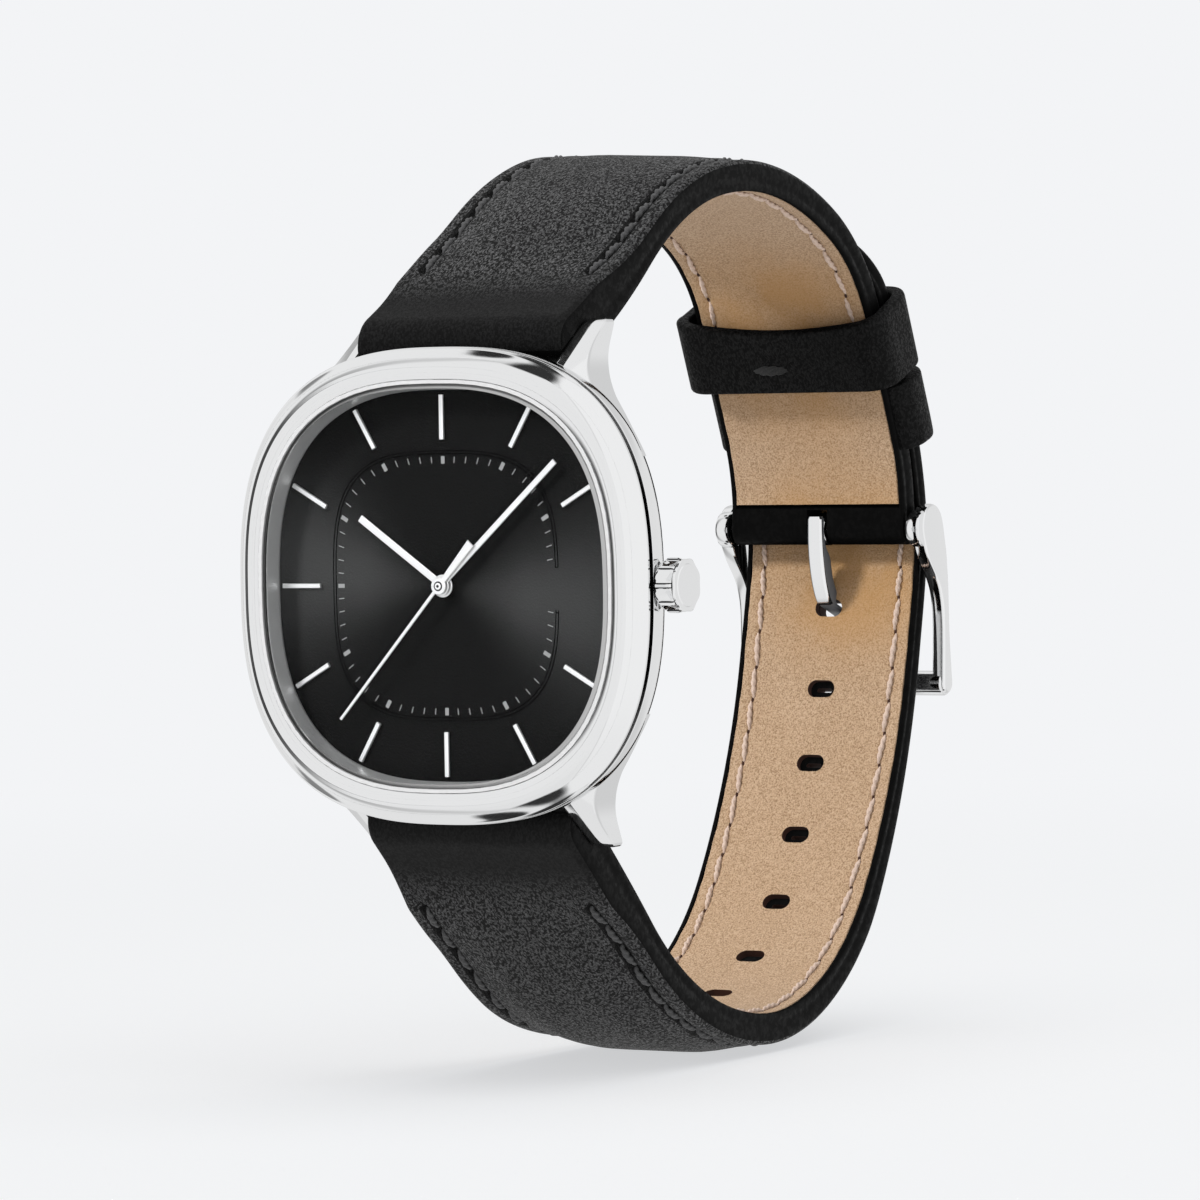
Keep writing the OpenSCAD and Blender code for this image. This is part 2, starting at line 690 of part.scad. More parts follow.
module crown() {
    neck_x = crown_end_x - 0.5;
    flute_r = 0.85;
    color(steel) difference() {
        union() {
            rod_x(crown_r - 0.25, crown_x, crown_end_x, crown_y);
            rod_x(crown_r, crown_x, neck_x, crown_y);
            rod_x(crown_r, neck_x + 0.15, crown_end_x - 0.1, crown_y);
        }
        // Flutes between eight narrow ridges
        for (i = [0 : flutes - 1]) translate([0, crown_y, 0]) rotate([(i + 0.5) * 360 / flutes, 0, 0])
            rod_x(flute_r, crown_x - 1, neck_x, crown_r + flute_r - 0.28);
        rod_x(tube_r + 0.35, crown_x - 1, crown_bore_x, crown_y);
        rod_x(stem_d / 2 - 0.1, crown_x, crown_end_x - 0.5, crown_y);
    }
}

module crown_gasket()
    color("black") difference() {
        rod_x(tube_r + 0.35 - fit, crown_x + 0.1, crown_x + 0.5, crown_y);
        rod_x(tube_r + run, crown_x, crown_x + 2, crown_y);
    }

module crown_tube()
    color(steel) difference() {
        rod_x(tube_r, cavity_r - 0.5, tube_end_x, crown_y);
        rod_x(tube_bore_r, cavity_r - 2, tube_end_x + 1, crown_y);
    }

module stem()
    color("silver") {
        rod_x(stem_d / 2, stem_in_x, crown_bore_x, crown_y);
        rod_x(stem_d / 2 - 0.1 - fit, crown_bore_x, crown_end_x - 0.55, crown_y);
    }

module sliding_pinion()
    color("silver") difference() {
        rod_x(pinion_r, pinion_x, pinion_x + pinion_len, crown_y);
        rod_x(stem_d / 2 + run, pinion_x - 1, pinion_x + pinion_len + 1, crown_y);
    }

// Spring bars

module bar_tube(z) {
    bore = plunger_inside + plunger_travel + 0.1;
    color("silver") difference() {
        rod_x(bar_tube_r, -bar_tube_len / 2, bar_tube_len / 2, bar_y, z);
        for (s = [-1, 1]) translate([s * bar_tube_len / 2, 0, 0])
            rod_x(plunger_r + run, -bore, bore, bar_y, z);
    }
}

module plunger(side, z)
    color("silver") mirror([side < 0 ? 1 : 0, 0, 0])
        rod_x(plunger_r, bar_tube_len / 2 - plunger_inside, lug_in_x + lug_hole_depth - 0.1, bar_y, z);

module upper_bar_tube() bar_tube(bar_z);
module lower_bar_tube() bar_tube(-bar_z);
module upper_plunger_left() plunger(-1, bar_z);
module upper_plunger_right() plunger(1, bar_z);
module lower_plunger_left() plunger(-1, -bar_z);
module lower_plunger_right() plunger(1, -bar_z);

// Strap

short_stations = concat([0, 1.5, 3, lining_start - 0.05, lining_start + 0.05],
    [for (s = [7.5 : 2.5 : short_len - lining_stop - 1]) s],
    [short_len - lining_stop - 0.05, short_len - lining_stop + 0.05, short_len]);
long_stations = concat([0, 1.5, 3, lining_start - 0.05, lining_start + 0.05],
    [for (s = [7.5 : 2.7 : long_len - tip_round]) s],
    [for (i = [0 : 8]) long_len - tip_round * (1 - sin(11.25 * i))]);

// Cut through the strap for the buckle's tongue, at p
module strap_hole(p)
    translate([0, p[0], p[1]]) rotate([p[2], 0, 0]) {
        end_x = (hole_w - hole_len) / 2;
        depth = long_pad_t;
        for (x = [-end_x, end_x]) translate([x, 0, -depth]) cylinder(d = hole_len, h = 2 * depth);
        translate([-end_x, -hole_len / 2, -depth]) cube([2 * end_x, hole_len, 2 * depth]);
    }

module hole_row() for (i = [0 : holes - 1]) strap_hole(long_at(hole_1_s - i * hole_pitch));

// Straight cut for the tongue in the fold at the buckle
module fold_slot()
    translate([-fold_slot_w / 2, hinge_y - 2 * ring_r, hinge_z - 2 * fold_r])
        cube([fold_slot_w, 4 * ring_r, 2 * fold_r + ring_r + free]);

module short_leather()
    color(black_leather) difference() {
        union() {
            skin([for (s = short_stations) let (t = short_t_at(s), f = padding(t, s),
                bare = s < lining_start || s > short_len - lining_stop)
                strap_ring(short_at(s), 1, t, half_w_at(s),
                    function (u) bare ? 0 : lining_t + f * (1 - pow(abs(u), 4)),
                    function (u) crowned(min(short_edge_t, t), t, u), ring_steps)]);
            rod_x(short_pad_t / 2, -strap_w / 2, strap_w / 2, bar_y, bar_z);
            rod_x(fold_r, -strap_end_w / 2, strap_end_w / 2, hinge_y, hinge_z);
        }
        rod_x(bar_tube_r + run, -strap_w, strap_w, bar_y, bar_z);
        rod_x(buckle_bar_r + run, -strap_w, strap_w, hinge_y, hinge_z);
        fold_slot();
        // Seam that takes the fixed keeper's ends, on top of the lining
        keeper_box(fixed_keeper_s - fit, fixed_keeper_w + 2 * fit, strap_w, keeper_seam - 2 * run,
            keeper_seam + skived_t + run, 2);
    }

// Height of the padding's upper side, just clear of the leather
function puffed(f, u) = lining_t + fit + f * max(0.02, 0.86 - pow(abs(filler_w * u), 4));

module short_filler()
    color("gray") skin([for (s = short_stations) if (s > lining_start && s < filler_end)
        let (t = short_t_at(s), f = padding(t, s)) strap_ring(short_at(s), 1, t,
            filler_w * half_w_at(s), function (u) lining_t, function (u) puffed(f, u), ring_steps)]);

module short_lining()
    color(tan_lining) difference() {
        skin([for (s = short_stations) if (s > lining_start && s < short_len - lining_stop)
            strap_ring(short_at(s), 1, short_t_at(s), half_w_at(s), function (u) 0,
                function (u) lining_t, 1)]);
        fold_slot();
    }

module long_leather()
    color(black_leather) difference() {
        union() {
            skin([for (s = long_stations) let (t = long_t_at(s), f = padding(t, s),
                bare = s < lining_start)
                strap_ring(long_at(s), -1, t, long_half_w(s),
                    function (u) bare ? 0 : lining_t + f * (1 - pow(abs(u), 4)),
                    function (u) crowned(min(long_edge_t, t), t, u), ring_steps)]);
            rod_x(long_pad_t / 2, -strap_w / 2, strap_w / 2, bar_y, -bar_z);
        }
        rod_x(bar_tube_r + run, -strap_w, strap_w, bar_y, -bar_z);
        hole_row();
    }

module long_filler()
    color("gray") difference() {
        skin([for (s = long_stations) if (s > lining_start && s < filler_end)
            let (t = long_t_at(s), f = padding(t, s)) strap_ring(long_at(s), -1, t,
                filler_w * half_w_at(s), function (u) lining_t, function (u) puffed(f, u), ring_steps)]);
        hole_row();
    }

module long_lining()
    color(tan_lining) difference() {
        skin([for (s = long_stations) if (s > lining_start)
            strap_ring(long_at(s), -1, long_t_at(s), long_half_w(s), function (u) 0,
                function (u) lining_t, 1)]);
        hole_row();
    }

// Keepers

// Rounded box round the strap, from s on along the short piece, between two heights from
// the piece's middle
module keeper_box(s, length, half, low, high, steps, r = 0.05)
    skin([for (i = [0 : steps]) let (p = short_at(s + i * length / steps))
        [for (b = [[-1, -1], [1, -1], [1, 1], [-1, 1]]) for (k = [-1 : 1]) let (
            a = atan2(b[1], b[0]) + 45 * k, x = b[0] * (half - r) + r * cos(a),
            h = (b[1] < 0 ? low + r : high - r) + r * sin(a))
            [x, p[0] - h * sin(p[2]), p[1] + h * cos(p[2])]]]);

// Loop of leather round the strap, whose wrist side lies between two heights
module keeper_loop(s, w, low_out, low_in, steps) {
    high = short_t / 2 + strap_gap + long_t + keeper_gap;
    half = strap_end_w / 2 + keeper_gap;
    color(black_leather) difference() {
        keeper_box(s, w, half + keeper_t, low_out, high + keeper_t, steps,
            min(1, (low_in - low_out) / 2 + 0.6));
        keeper_box(s - 1, w + 2, half, low_in, high, steps * 2, 0.3);
    }
}

module free_keeper()
    keeper_loop(free_keeper_s, free_keeper_w, -short_t / 2 - keeper_gap - keeper_t,
        -short_t / 2 - keeper_gap, 1);

// The fixed keeper's ends are thinned and sewn between the lining and the leather
module fixed_keeper()
    keeper_loop(fixed_keeper_s, fixed_keeper_w, keeper_seam, keeper_seam + skived_t, 2);

// Buckle

function yz(p) = [p[0], p[1]];

// Side view of an arm: a strip of varying width along a bent line
module arm_outline(line, widths) {
    last = len(line) - 1;
    sides = [for (i = [0 : last]) let (d = line[min(i + 1, last)] - line[max(i - 1, 0)])
        widths[i] * [-d[1], d[0]] / norm(d)];
    polygon(concat([for (i = [0 : last]) line[i] + sides[i]],
        [for (i = [last : -1 : 0]) line[i] - sides[i]]));
}

module buckle_frame() {
    leaf = [hinge_y + 1.28, hinge_z + 0.15];
    bar = yz(front_bar_at);
    bar_r = front_bar_d / 2;
    // The arm's middle line from the leaf to the bar, with its half widths
    arm = [[0, 0, 0.95], [0.45, -1.4, 0.93], [1.15, -2.8, 0.78], [1.7, -4.05, 0.58],
        [2.2, -5.5, 0.4], [2.5, -7.4, 0.28], [2.55, -10.2, 0.28]];
    color(steel) difference() {
        union() {
            for (s = [0, 1]) mirror([s, 0, 0]) {
                along_x(arm_in_x, arm_out_x) arm_outline(
                    concat([for (p = arm) leaf + [p[0], p[1]]], [bar]),
                    concat([for (p = arm) p[2] * leaf_w / 2], [bar_r - 0.2]));
                rod_x(leaf_w / 2, arm_in_x, arm_out_x, leaf[0], leaf[1]);
                rod_x(boss_r, arm_in_x - 0.2, arm_out_x - 0.1, hinge_y, hinge_z);
            }
            rod_x(bar_r, -arm_out_x, arm_out_x, bar[0], bar[1]);
        }
        rod_x(buckle_bar_r + fit, -arm_out_x + 0.4, arm_out_x - 0.4, hinge_y, hinge_z);
    }
}

module buckle_bar()
    color("silver") rod_x(buckle_bar_r, -arm_out_x + 0.5, arm_out_x - 0.5, hinge_y, hinge_z);

// The tongue leaves its ring on the wrist side, goes out through the strap's hole and rests
// on the frame's front bar
module buckle_tongue() {
    path = concat([tongue_top], [for (i = [0 : 7]) curve(tongue_bend, tongue_in, 3.2, 1.3, i / 7)],
        [for (i = [0 : 6]) arc(tongue_out, 1.6 * i / 6, -9 * i)], [tongue_rest, tongue_tip]);
    half = tongue_t / 2;
    color(steel) difference() {
        union() {
            along_x(-tongue_w / 2, tongue_w / 2) polygon(concat(
                [for (p = path) yz(left(p, half))],
                [for (i = [len(path) - 1 : -1 : 0]) yz(left(path[i], -half))]));
            rod_x(ring_r, -tongue_w / 2, tongue_w / 2, hinge_y, hinge_z);
        }
        rod_x(buckle_bar_r + run, -tongue_w, tongue_w, hinge_y, hinge_z);
    }
}

mid_case();
bezel();
crystal();
crystal_gasket();
rehaut();
dial();
hour_markers();
case_back();
back_gasket();
movement_ring();
main_plate();
train_cover();
battery();
battery_strap();
coil();
circuit_board();
cannon_pinion();
minute_wheel();
hour_wheel();
second_wheel();
hour_hand();
minute_hand();
second_hand();
crown();
crown_gasket();
crown_tube();
stem();
sliding_pinion();
upper_bar_tube();
lower_bar_tube();
upper_plunger_left();
upper_plunger_right();
lower_plunger_left();
lower_plunger_right();
short_leather();
short_filler();
short_lining();
long_leather();
long_filler();
long_lining();
fixed_keeper();
free_keeper();
buckle_frame();
buckle_tongue();
buckle_bar();
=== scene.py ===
import bpy
import numpy as np
from mathutils import Matrix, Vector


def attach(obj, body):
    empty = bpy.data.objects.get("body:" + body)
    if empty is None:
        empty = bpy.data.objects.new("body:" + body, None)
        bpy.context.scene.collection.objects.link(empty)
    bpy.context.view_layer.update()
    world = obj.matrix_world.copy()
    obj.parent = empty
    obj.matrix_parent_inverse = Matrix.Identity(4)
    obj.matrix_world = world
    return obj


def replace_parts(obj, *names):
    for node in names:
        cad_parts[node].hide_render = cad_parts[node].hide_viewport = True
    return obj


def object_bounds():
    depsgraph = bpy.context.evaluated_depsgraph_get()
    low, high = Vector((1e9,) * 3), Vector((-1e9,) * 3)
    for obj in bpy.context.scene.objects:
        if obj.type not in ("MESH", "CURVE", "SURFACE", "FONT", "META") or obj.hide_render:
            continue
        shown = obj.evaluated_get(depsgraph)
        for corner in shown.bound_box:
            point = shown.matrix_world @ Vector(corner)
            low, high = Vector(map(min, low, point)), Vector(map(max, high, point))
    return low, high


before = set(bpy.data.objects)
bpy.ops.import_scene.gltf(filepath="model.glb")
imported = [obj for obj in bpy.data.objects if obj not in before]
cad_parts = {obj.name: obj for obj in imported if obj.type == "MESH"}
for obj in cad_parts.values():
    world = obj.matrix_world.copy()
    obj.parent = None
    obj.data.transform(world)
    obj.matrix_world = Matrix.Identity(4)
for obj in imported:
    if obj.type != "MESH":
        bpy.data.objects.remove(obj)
cad_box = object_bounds()

# Photograph
#
# The studio: a pale table that runs on into a pale wall, a small lamp at the upper left, a wide
# soft one above and a weak one at the right. The camera stands half a metre away, 30 degrees
# round to the crown's side.

MM = 0.001
PALE = (0.896, 0.905, 0.922)
CAMERA_PLACE = (12.89, -1.18, 500)
turn, rise, roll = np.radians([30.0, 1.78, -0.93])
back = np.array([np.sin(turn) * np.cos(rise), -np.cos(turn) * np.cos(rise), np.sin(rise)])
across = np.array([np.cos(turn), np.sin(turn), 0])
level = np.array([across, np.cross(back, across), back])
tilt = np.array([[np.cos(roll), np.sin(roll), 0], [-np.sin(roll), np.cos(roll), 0], [0, 0, 1]])
view_axes = tilt @ level


def unit(v):
    """The same directions with the length 1."""
    return v / np.linalg.norm(v, axis=-1, keepdims=True)


def put_at(thing, axes, spot):
    """Puts a lamp or camera at a spot in millimetres, turned to three axes, into the scene."""
    pose = np.eye(4)
    pose[:3, :3] = axes
    pose[:3, 3] = np.array(spot) * MM
    thing.matrix_world = Matrix(pose.tolist())
    bpy.context.scene.collection.objects.link(thing)


camera = bpy.data.objects.new("camera", bpy.data.cameras.new("camera"))
camera.data.lens = 180
camera.data.sensor_width = 36
camera.data.clip_start = 0.02
put_at(camera, view_axes.T, view_axes.T @ CAMERA_PLACE + [0, -6, 0])
bpy.context.scene.camera = camera
bpy.context.scene.view_settings.view_transform = "Standard"


def lamp(name, spot, aim, size, watts):
    """A square lamp at a spot, turned to shine at a point, both in millimetres. Steel doesn't
    show it."""
    light = bpy.data.objects.new(name, bpy.data.lights.new(name, "AREA"))
    light.data.size = size
    light.data.energy = watts
    light.visible_glossy = False
    away = unit(np.array(spot, float) - aim)
    side = unit(np.cross([0.1, 0.2, 1], away))
    put_at(light, np.array([side, np.cross(away, side), away]).T, spot)
    return light


upper_left = lamp("lamp_upper_left", (-520, -560, 560), (0, 0, 0), 0.16, 8.5)
lamp("lamp_above", (170, -20, 900), (0, 20, 0), 1.1, 4.6)
right = lamp("lamp_right", (900, -500, 250), (0, 20, 0), 0.7, 1.5)


def wire(tree, kind, inputs=(), **settings):
    """Adds a shader node, sets its own settings, and fills its inputs by name or number: another
    node's output joins on, anything else is set as a value."""
    made = tree.nodes.new("ShaderNode" + kind)
    for key, value in settings.items():
        setattr(made, key, value)
    for key, value in dict(inputs).items():
        if isinstance(value, bpy.types.NodeSocket):
            tree.links.new(value, made.inputs[key])
        else:
            made.inputs[key].default_value = value
    return made


def math(tree, operation, *inputs):
    """A math node's result."""
    return wire(tree, "Math", dict(enumerate(inputs)), operation=operation).outputs[0]


def vector(tree, operation, *inputs):
    """A vector math node's outputs."""
    return wire(tree, "VectorMath", dict(enumerate(inputs)), operation=operation).outputs


def parts_of(tree, spot):
    """A vector's X, Y and Z."""
    return wire(tree, "SeparateXYZ", {0: spot}).outputs


def joined(tree, *parts):
    """A vector from its parts."""
    return wire(tree, "CombineXYZ", dict(enumerate(parts))).outputs[0]


def ramp(tree, value, a, b, low, high, soft=True):
    """Step from low at a to high at b, soft or straight."""
    return wire(tree, "MapRange", {0: value, 1: a, 2: b, 3: low, 4: high},
                interpolation_type="SMOOTHSTEP" if soft else "LINEAR").outputs[0]


def mix(tree, share, first, second):
    """Colour between two, each a node's colour or (red, green, blue)."""
    first, second = ((*c, 1) if isinstance(c, tuple) else c for c in (first, second))
    return wire(tree, "Mix", {0: share, 6: first, 7: second}, data_type="RGBA").outputs[2]


studio = bpy.data.worlds.new("studio")
studio.use_nodes = True
tree = studio.node_tree
tree.nodes.clear()
ray = wire(tree, "LightPath").outputs
seen = math(tree, "MAXIMUM", ray["Is Camera Ray"], ray["Is Transmission Ray"])
part = parts_of(tree, wire(tree, "TexCoord").outputs["Generated"])
# Steel shows a white room with screens, placed by their turn round the watch from straight in
# front, in radians, and their height: a tall dark one at the left that fades upwards, light grey
# in front, a narrow grey one to the right of it, and a grey zone high up behind.
turned = math(tree, "ARCTAN2", part["X"], math(tree, "MULTIPLY", part["Y"], -1.0))
up = math(tree, "ABSOLUTE", part["Z"])
off = math(tree, "ABSOLUTE", math(tree, "ADD", turned, 1.2))
tall = math(tree, "MULTIPLY", ramp(tree, off, 0.06, 0.32, 1.0, 0.0),
            ramp(tree, up, 0.2, 0.95, 0.92, 0.2))
front = ramp(tree, turned, 0.05, 0.45, 0.93, 1.0)
off = math(tree, "ABSOLUTE", math(tree, "SUBTRACT", turned, 0.3))
narrow = ramp(tree, off, 0.0, 0.06, 0.8, 1.0)
zone = math(tree, "MULTIPLY", ramp(tree, up, 0.25, 0.45, 0.0, 1.0),
            ramp(tree, up, 0.55, 0.75, 1.0, 0.0))
behind = math(tree, "MULTIPLY", math(tree, "MULTIPLY_ADD", zone, 0.14, 0.14),
              ramp(tree, part["Y"], 0.3, 0.6, 0.0, 1.0))
floor_grey = ramp(tree, part["Z"], -0.85, -0.35, 0.95, 1.0)
screens = math(tree, "SUBTRACT", 1.0, tall)
for shade in (front, narrow, floor_grey, math(tree, "SUBTRACT", 1.0, behind)):
    screens = math(tree, "MULTIPLY", screens, shade)
# Three round dark spots, mirrored below: a direction, the cosines of the angles to it at which
# the spot begins and is full, and the light that is left there
mirrored = joined(tree, part["X"], part["Y"], up)
for spot, begins, full, left in (((-0.12, -0.2, 0.972), 0.976, 0.991, 0.04),
                                 ((-0.36, 0.12, 0.925), 0.991, 0.9955, 0.03),
                                 ((-0.78, 0.4, 0.48), 0.991, 0.997, 0.3)):
    near = vector(tree, "DOT_PRODUCT", mirrored, spot)["Value"]
    screens = math(tree, "MULTIPLY", screens, ramp(tree, near, begins, full, 1.0, left))
room = mix(tree, screens, (0, 0, 0), (0.97, 0.97, 0.97))
soft_light = mix(tree, ray["Is Glossy Ray"], (0.32, 0.322, 0.327), room)
colour = mix(tree, seen, soft_light, PALE)
glow = wire(tree, "Background", {"Color": colour, "Strength": 1.0}).outputs[0]
wire(tree, "OutputWorld", {"Surface": glow})
bpy.context.scene.world = studio


def finish_of(name, sockets):
    """A new material with its shader's sockets set by name."""
    made = bpy.data.materials.new(name)
    made.use_nodes = True
    for key, value in sockets.items():
        made.node_tree.nodes["Principled BSDF"].inputs[key].default_value = value
    return made


def solid(name, shells, finishes, smooth=35):
    """A mesh object from shells, each (points in mm, faces, finish number of each face)."""
    points, faces, kinds, start = [], [], [], 0
    for spots, corners, kind in shells:
        points.append(np.asarray(spots, float).reshape(-1, 3))
        faces += [[start + i for i in f] for f in corners]
        kinds += list(kind)
        start += len(points[-1])
    mesh = bpy.data.meshes.new(name)
    mesh.from_pydata(np.concatenate(points) * MM, [], faces)
    for m in finishes:
        mesh.materials.append(m)
    mesh.polygons.foreach_set("material_index", np.array(kinds, np.int32))
    mesh.shade_smooth()
    mesh.set_sharp_from_angle(angle=np.radians(smooth))
    made = bpy.data.objects.new(name, mesh)
    bpy.context.scene.collection.objects.link(made)
    return made


FLOOR_Z = cad_box[0].z * 1000 - 0.35
FAR = 3000
TABLE_GLOW = 0.64
TABLE_BOUNCE = (0.7, 0.7, 0.7)
table = finish_of("pale_table", {"Base Color": (0.48, 0.485, 0.485, 1), "Roughness": 1.0,
                                 "Specular IOR Level": 0.0, "Emission Strength": 1.0})
tree = table.node_tree
shader = tree.nodes["Principled BSDF"]
spot = wire(tree, "TexCoord").outputs["Object"]
away = vector(tree, "DISTANCE", spot, (0, 0.02, FLOOR_Z * MM))["Value"]
to_camera = wire(tree, "LightPath").outputs["Is Camera Ray"]
colour = mix(tree, to_camera, TABLE_BOUNCE, tuple(v * TABLE_GLOW for v in PALE))
tree.links.new(colour, shader.inputs["Emission Color"])
wall = wire(tree, "Emission", {"Color": (*PALE, 1)}).outputs[0]
fade = ramp(tree, away, 0.13, 0.4, 0.0, 1.0)
mixed = wire(tree, "MixShader", {0: fade, 1: shader.outputs[0], 2: wall}).outputs[0]
tree.links.new(mixed, tree.nodes["Material Output"].inputs["Surface"])
corners = [[-FAR, -FAR, FLOOR_Z], [FAR, -FAR, FLOOR_Z], [FAR, FAR, FLOOR_Z], [-FAR, FAR, FLOOR_Z]]
floor = solid("floor", [(corners, [[0, 1, 2, 3]], [0])], [table])
floor.visible_glossy = False
# The lamps at the sides leave the table alone, so that it shows only the soft shadow from above
beside = bpy.data.collections.new("lit_from_above_only")
beside.objects.link(floor)
beside.collection_objects[0].light_linking.link_state = "EXCLUDE"
for side_lamp in (upper_left, right):
    side_lamp.light_linking.receiver_collection = beside

# Mid-case and lugs
#
# The body of the case: a cushion-shaped steel ring with a dark groove under the bezel, and four
# lugs that run on from its front edge and bend down to the strap. Milled, then polished.

CASE_R, BORE_R, CAVITY_R = 19.9, 17.2, 15.5
SQUARE = 2.6
BEZEL_Y, GROOVE_Y, SEAT_Y = -6.5, -5.9, -5.58


def scratched():
    """Node group: fine wear on metal. Long thin scratches and broad smears as a height and as a
    share for the roughness."""
    group = bpy.data.node_groups.new("scratched", "ShaderNodeTree")
    for name, kind in (("Grain", "NodeSocketFloat"), ("Along", "NodeSocketVector")):
        group.interface.new_socket(name, in_out="INPUT", socket_type=kind)
    for name in ("Height", "Smear"):
        group.interface.new_socket(name, in_out="OUTPUT", socket_type="NodeSocketFloat")
    inside = group.nodes.new("NodeGroupInput")
    spot = spot_in(group)
    stretched = vector(group, "MULTIPLY", spot, inside.outputs["Along"])[0]
    out = group.nodes.new("NodeGroupOutput")
    group.links.new(noise(group, stretched, inside.outputs["Grain"], 5.0, 0.65),
                    out.inputs["Height"])
    group.links.new(noise(group, spot, 240.0, 3.0), out.inputs["Smear"])
    return group


def spot_in(tree):
    """The shaded point's place in the watch's own frame, in metres."""
    return wire(tree, "TexCoord").outputs["Object"]


def noise(tree, spot, scale, detail, rough=0.5):
    """Random variation about 0.5, with so many waves in a metre."""
    return wire(tree, "TexNoise", {"Vector": spot, "Scale": scale, "Detail": detail,
                                   "Roughness": rough}).outputs[0]


def lay(made, colour=None, rough=None, height=None, strength=0.0, deep=0.1):
    """Joins a colour, a roughness and a height to a material's shader. The height's full range
    lifts the surface by deep, in millimetres, times the strength."""
    tree = made.node_tree
    into = tree.nodes["Principled BSDF"].inputs
    bump = wire(tree, "Bump", {"Height": height, "Strength": strength, "Distance": deep * MM}
                ).outputs[0] if height else None
    for found, socket in ((colour, "Base Color"), (rough, "Roughness"), (bump, "Normal")):
        if found:
            tree.links.new(found, into[socket])
    return made


wear = scratched()


def metal(name, colour, roughness, grain=900.0, along=(1, 1, 1), depth=0.02, spread=0.04,
          metallic=1.0):
    """Steel or brass: its roughness varies with smears by spread, and scratches stretched along
    one axis lift its surface by depth."""
    made = finish_of(name, {"Base Color": (*colour, 1), "Metallic": metallic})
    tree = made.node_tree
    wear_and_painted_shade = tree.nodes.new("ShaderNodeGroup")
    wear_and_painted_shade.node_tree = wear
    wear_and_painted_shade.inputs["Grain"].default_value = grain
    wear_and_painted_shade.inputs["Along"].default_value = along
    rough = ramp(tree, wear_and_painted_shade.outputs["Smear"], 0.3, 0.7, roughness - spread / 2,
                 roughness + spread, soft=False)
    return lay(made, rough=rough, height=wear_and_painted_shade.outputs["Height"], strength=depth, deep=0.2)


polished = metal("polished_steel", (0.86, 0.865, 0.87), 0.06, spread=0.03, depth=0.012)
# Dark steel: painted shade in the crown's recesses, and the seconds cap's real dark joint and dot
shade_and_joint_dark = metal("recess_shade_and_dark_joint", (0.05, 0.05, 0.052), 0.3)
# The groove's steel is painted dark as shade at the crown and fades to bare steel towards the lugs
painted_groove_shade = metal("groove_painted_shade", (0.02, 0.02, 0.022), 0.35)
tree = painted_groove_shade.node_tree
far_up = math(tree, "ABSOLUTE", parts_of(tree, spot_in(tree))["Z"])
lay(painted_groove_shade, mix(tree, ramp(tree, far_up, 0.007, 0.013, 0.0, 1.0), (0.015, 0.015, 0.016),
                      (0.5, 0.5, 0.5)))


def rounded(corners, steps=6):
    """Closed outline through corners [x, y, r]: each is turned with a quadratic curve that starts
    and ends a distance r from it."""
    c = np.array(corners, float)
    p, r = c[:, :2], c[:, 2:3]
    start = p + unit(np.roll(p, 1, 0) - p) * r
    end = p + unit(np.roll(p, -1, 0) - p) * r
    u = np.linspace(0, 1, steps)[:, None, None]
    turned = (1 - u) ** 2 * start + 2 * u * (1 - u) * p + u ** 2 * end
    return turned.transpose(1, 0, 2).reshape(-1, 2)


def cushion(angle, square=SQUARE):
    """Point at an angle on the curve |x|^n + |z|^n = 1: the direction's cosine and sine, divided
    by the n-th root of the sum of their n-th powers."""
    c, s = np.cos(angle), np.sin(angle)
    size = (np.abs(c) ** square + np.abs(s) ** square) ** (1 / square)
    return np.stack([c / size, s / size], -1)


def skin(grid, round_i=False, round_j=False, ends=False, kinds=0):
    """Shell over a grid of points [i, j]: four-cornered faces between neighbours, with the last
    row or column joined to the first where it is round, and one face over each end. The faces
    are turned so that the shell's volume is positive. kinds gives the faces their finish."""
    n, m = grid.shape[:2]
    at = np.arange(n * m).reshape(n, m)
    if round_i:
        at = np.concatenate([at, at[:1]])
    if round_j:
        at = np.concatenate([at, at[:, :1]], 1)
    quads = np.stack([at[:-1, :-1], at[1:, :-1], at[1:, 1:], at[:-1, 1:]], -1)
    p, q = grid.reshape(-1, 3), quads.reshape(-1, 4)
    a, b, c, d = (p[q[:, k]] - p.mean(0) for k in range(4))
    volume = (np.cross(b, c) * a + np.cross(c, d) * a).sum()
    kind = np.broadcast_to(kinds, quads.shape[:2]).reshape(-1).tolist()
    faces = q.tolist()
    if ends:
        row = list(range(m))
        faces += [row, [n * m - 1 - i for i in row]]
        kind += [kind[0], kind[-1]]
    return p, [f[::-1] for f in faces] if volume < 0 else faces, kind


def cushion_ring(outline, steps=288):
    """Ring with a cushion outline: a closed outline of (half width, y) carried round it."""
    flat = cushion(np.linspace(0, 2 * np.pi, steps, endpoint=False))
    half, y = np.asarray(outline, float).T
    return np.stack([flat[:, None, 0] * half, np.broadcast_to(y, (steps, len(y))),
                     flat[:, None, 1] * half], -1)


def finely(outline, step):
    """The closed outline with more points on its straight parts, no further apart than step."""
    out = []
    for a, b in zip(outline, np.roll(outline, -1, 0)):
        k = max(1, int(np.ceil(np.linalg.norm(b - a) / step)))
        out.append(a + (b - a) * np.arange(k)[:, None] / k)
    return np.concatenate(out)


def cubic(a, b, c, d, u):
    """Points on the cubic curve with the control points a, b, c, d at the shares u."""
    v = 1 - u
    return v ** 3 * a + 3 * v * v * u * b + 3 * v * u * u * c + u ** 3 * d


def smoothed(values, times):
    """A row of values evened out: so many times, each becomes a quarter of its two neighbours and
    half of itself."""
    for k in range(times):
        values[1:-1] = (values[:-2] + 2 * values[1:-1] + values[2:]) / 4
    return values


BAR_Y, BAR_Z, HOLLOW_R = -1.1, 20.5, 2.65
LUG_IN, LUG_TIP_X, LUG_TIP_Z = 10.05, 11.9, 22.1
SHOULDER_Y, LUG_SLOPE = -4.55, 1.5
TIP_ROUND, INNER_ROUND = 0.55, 1.05
RIM_IN = 16.3

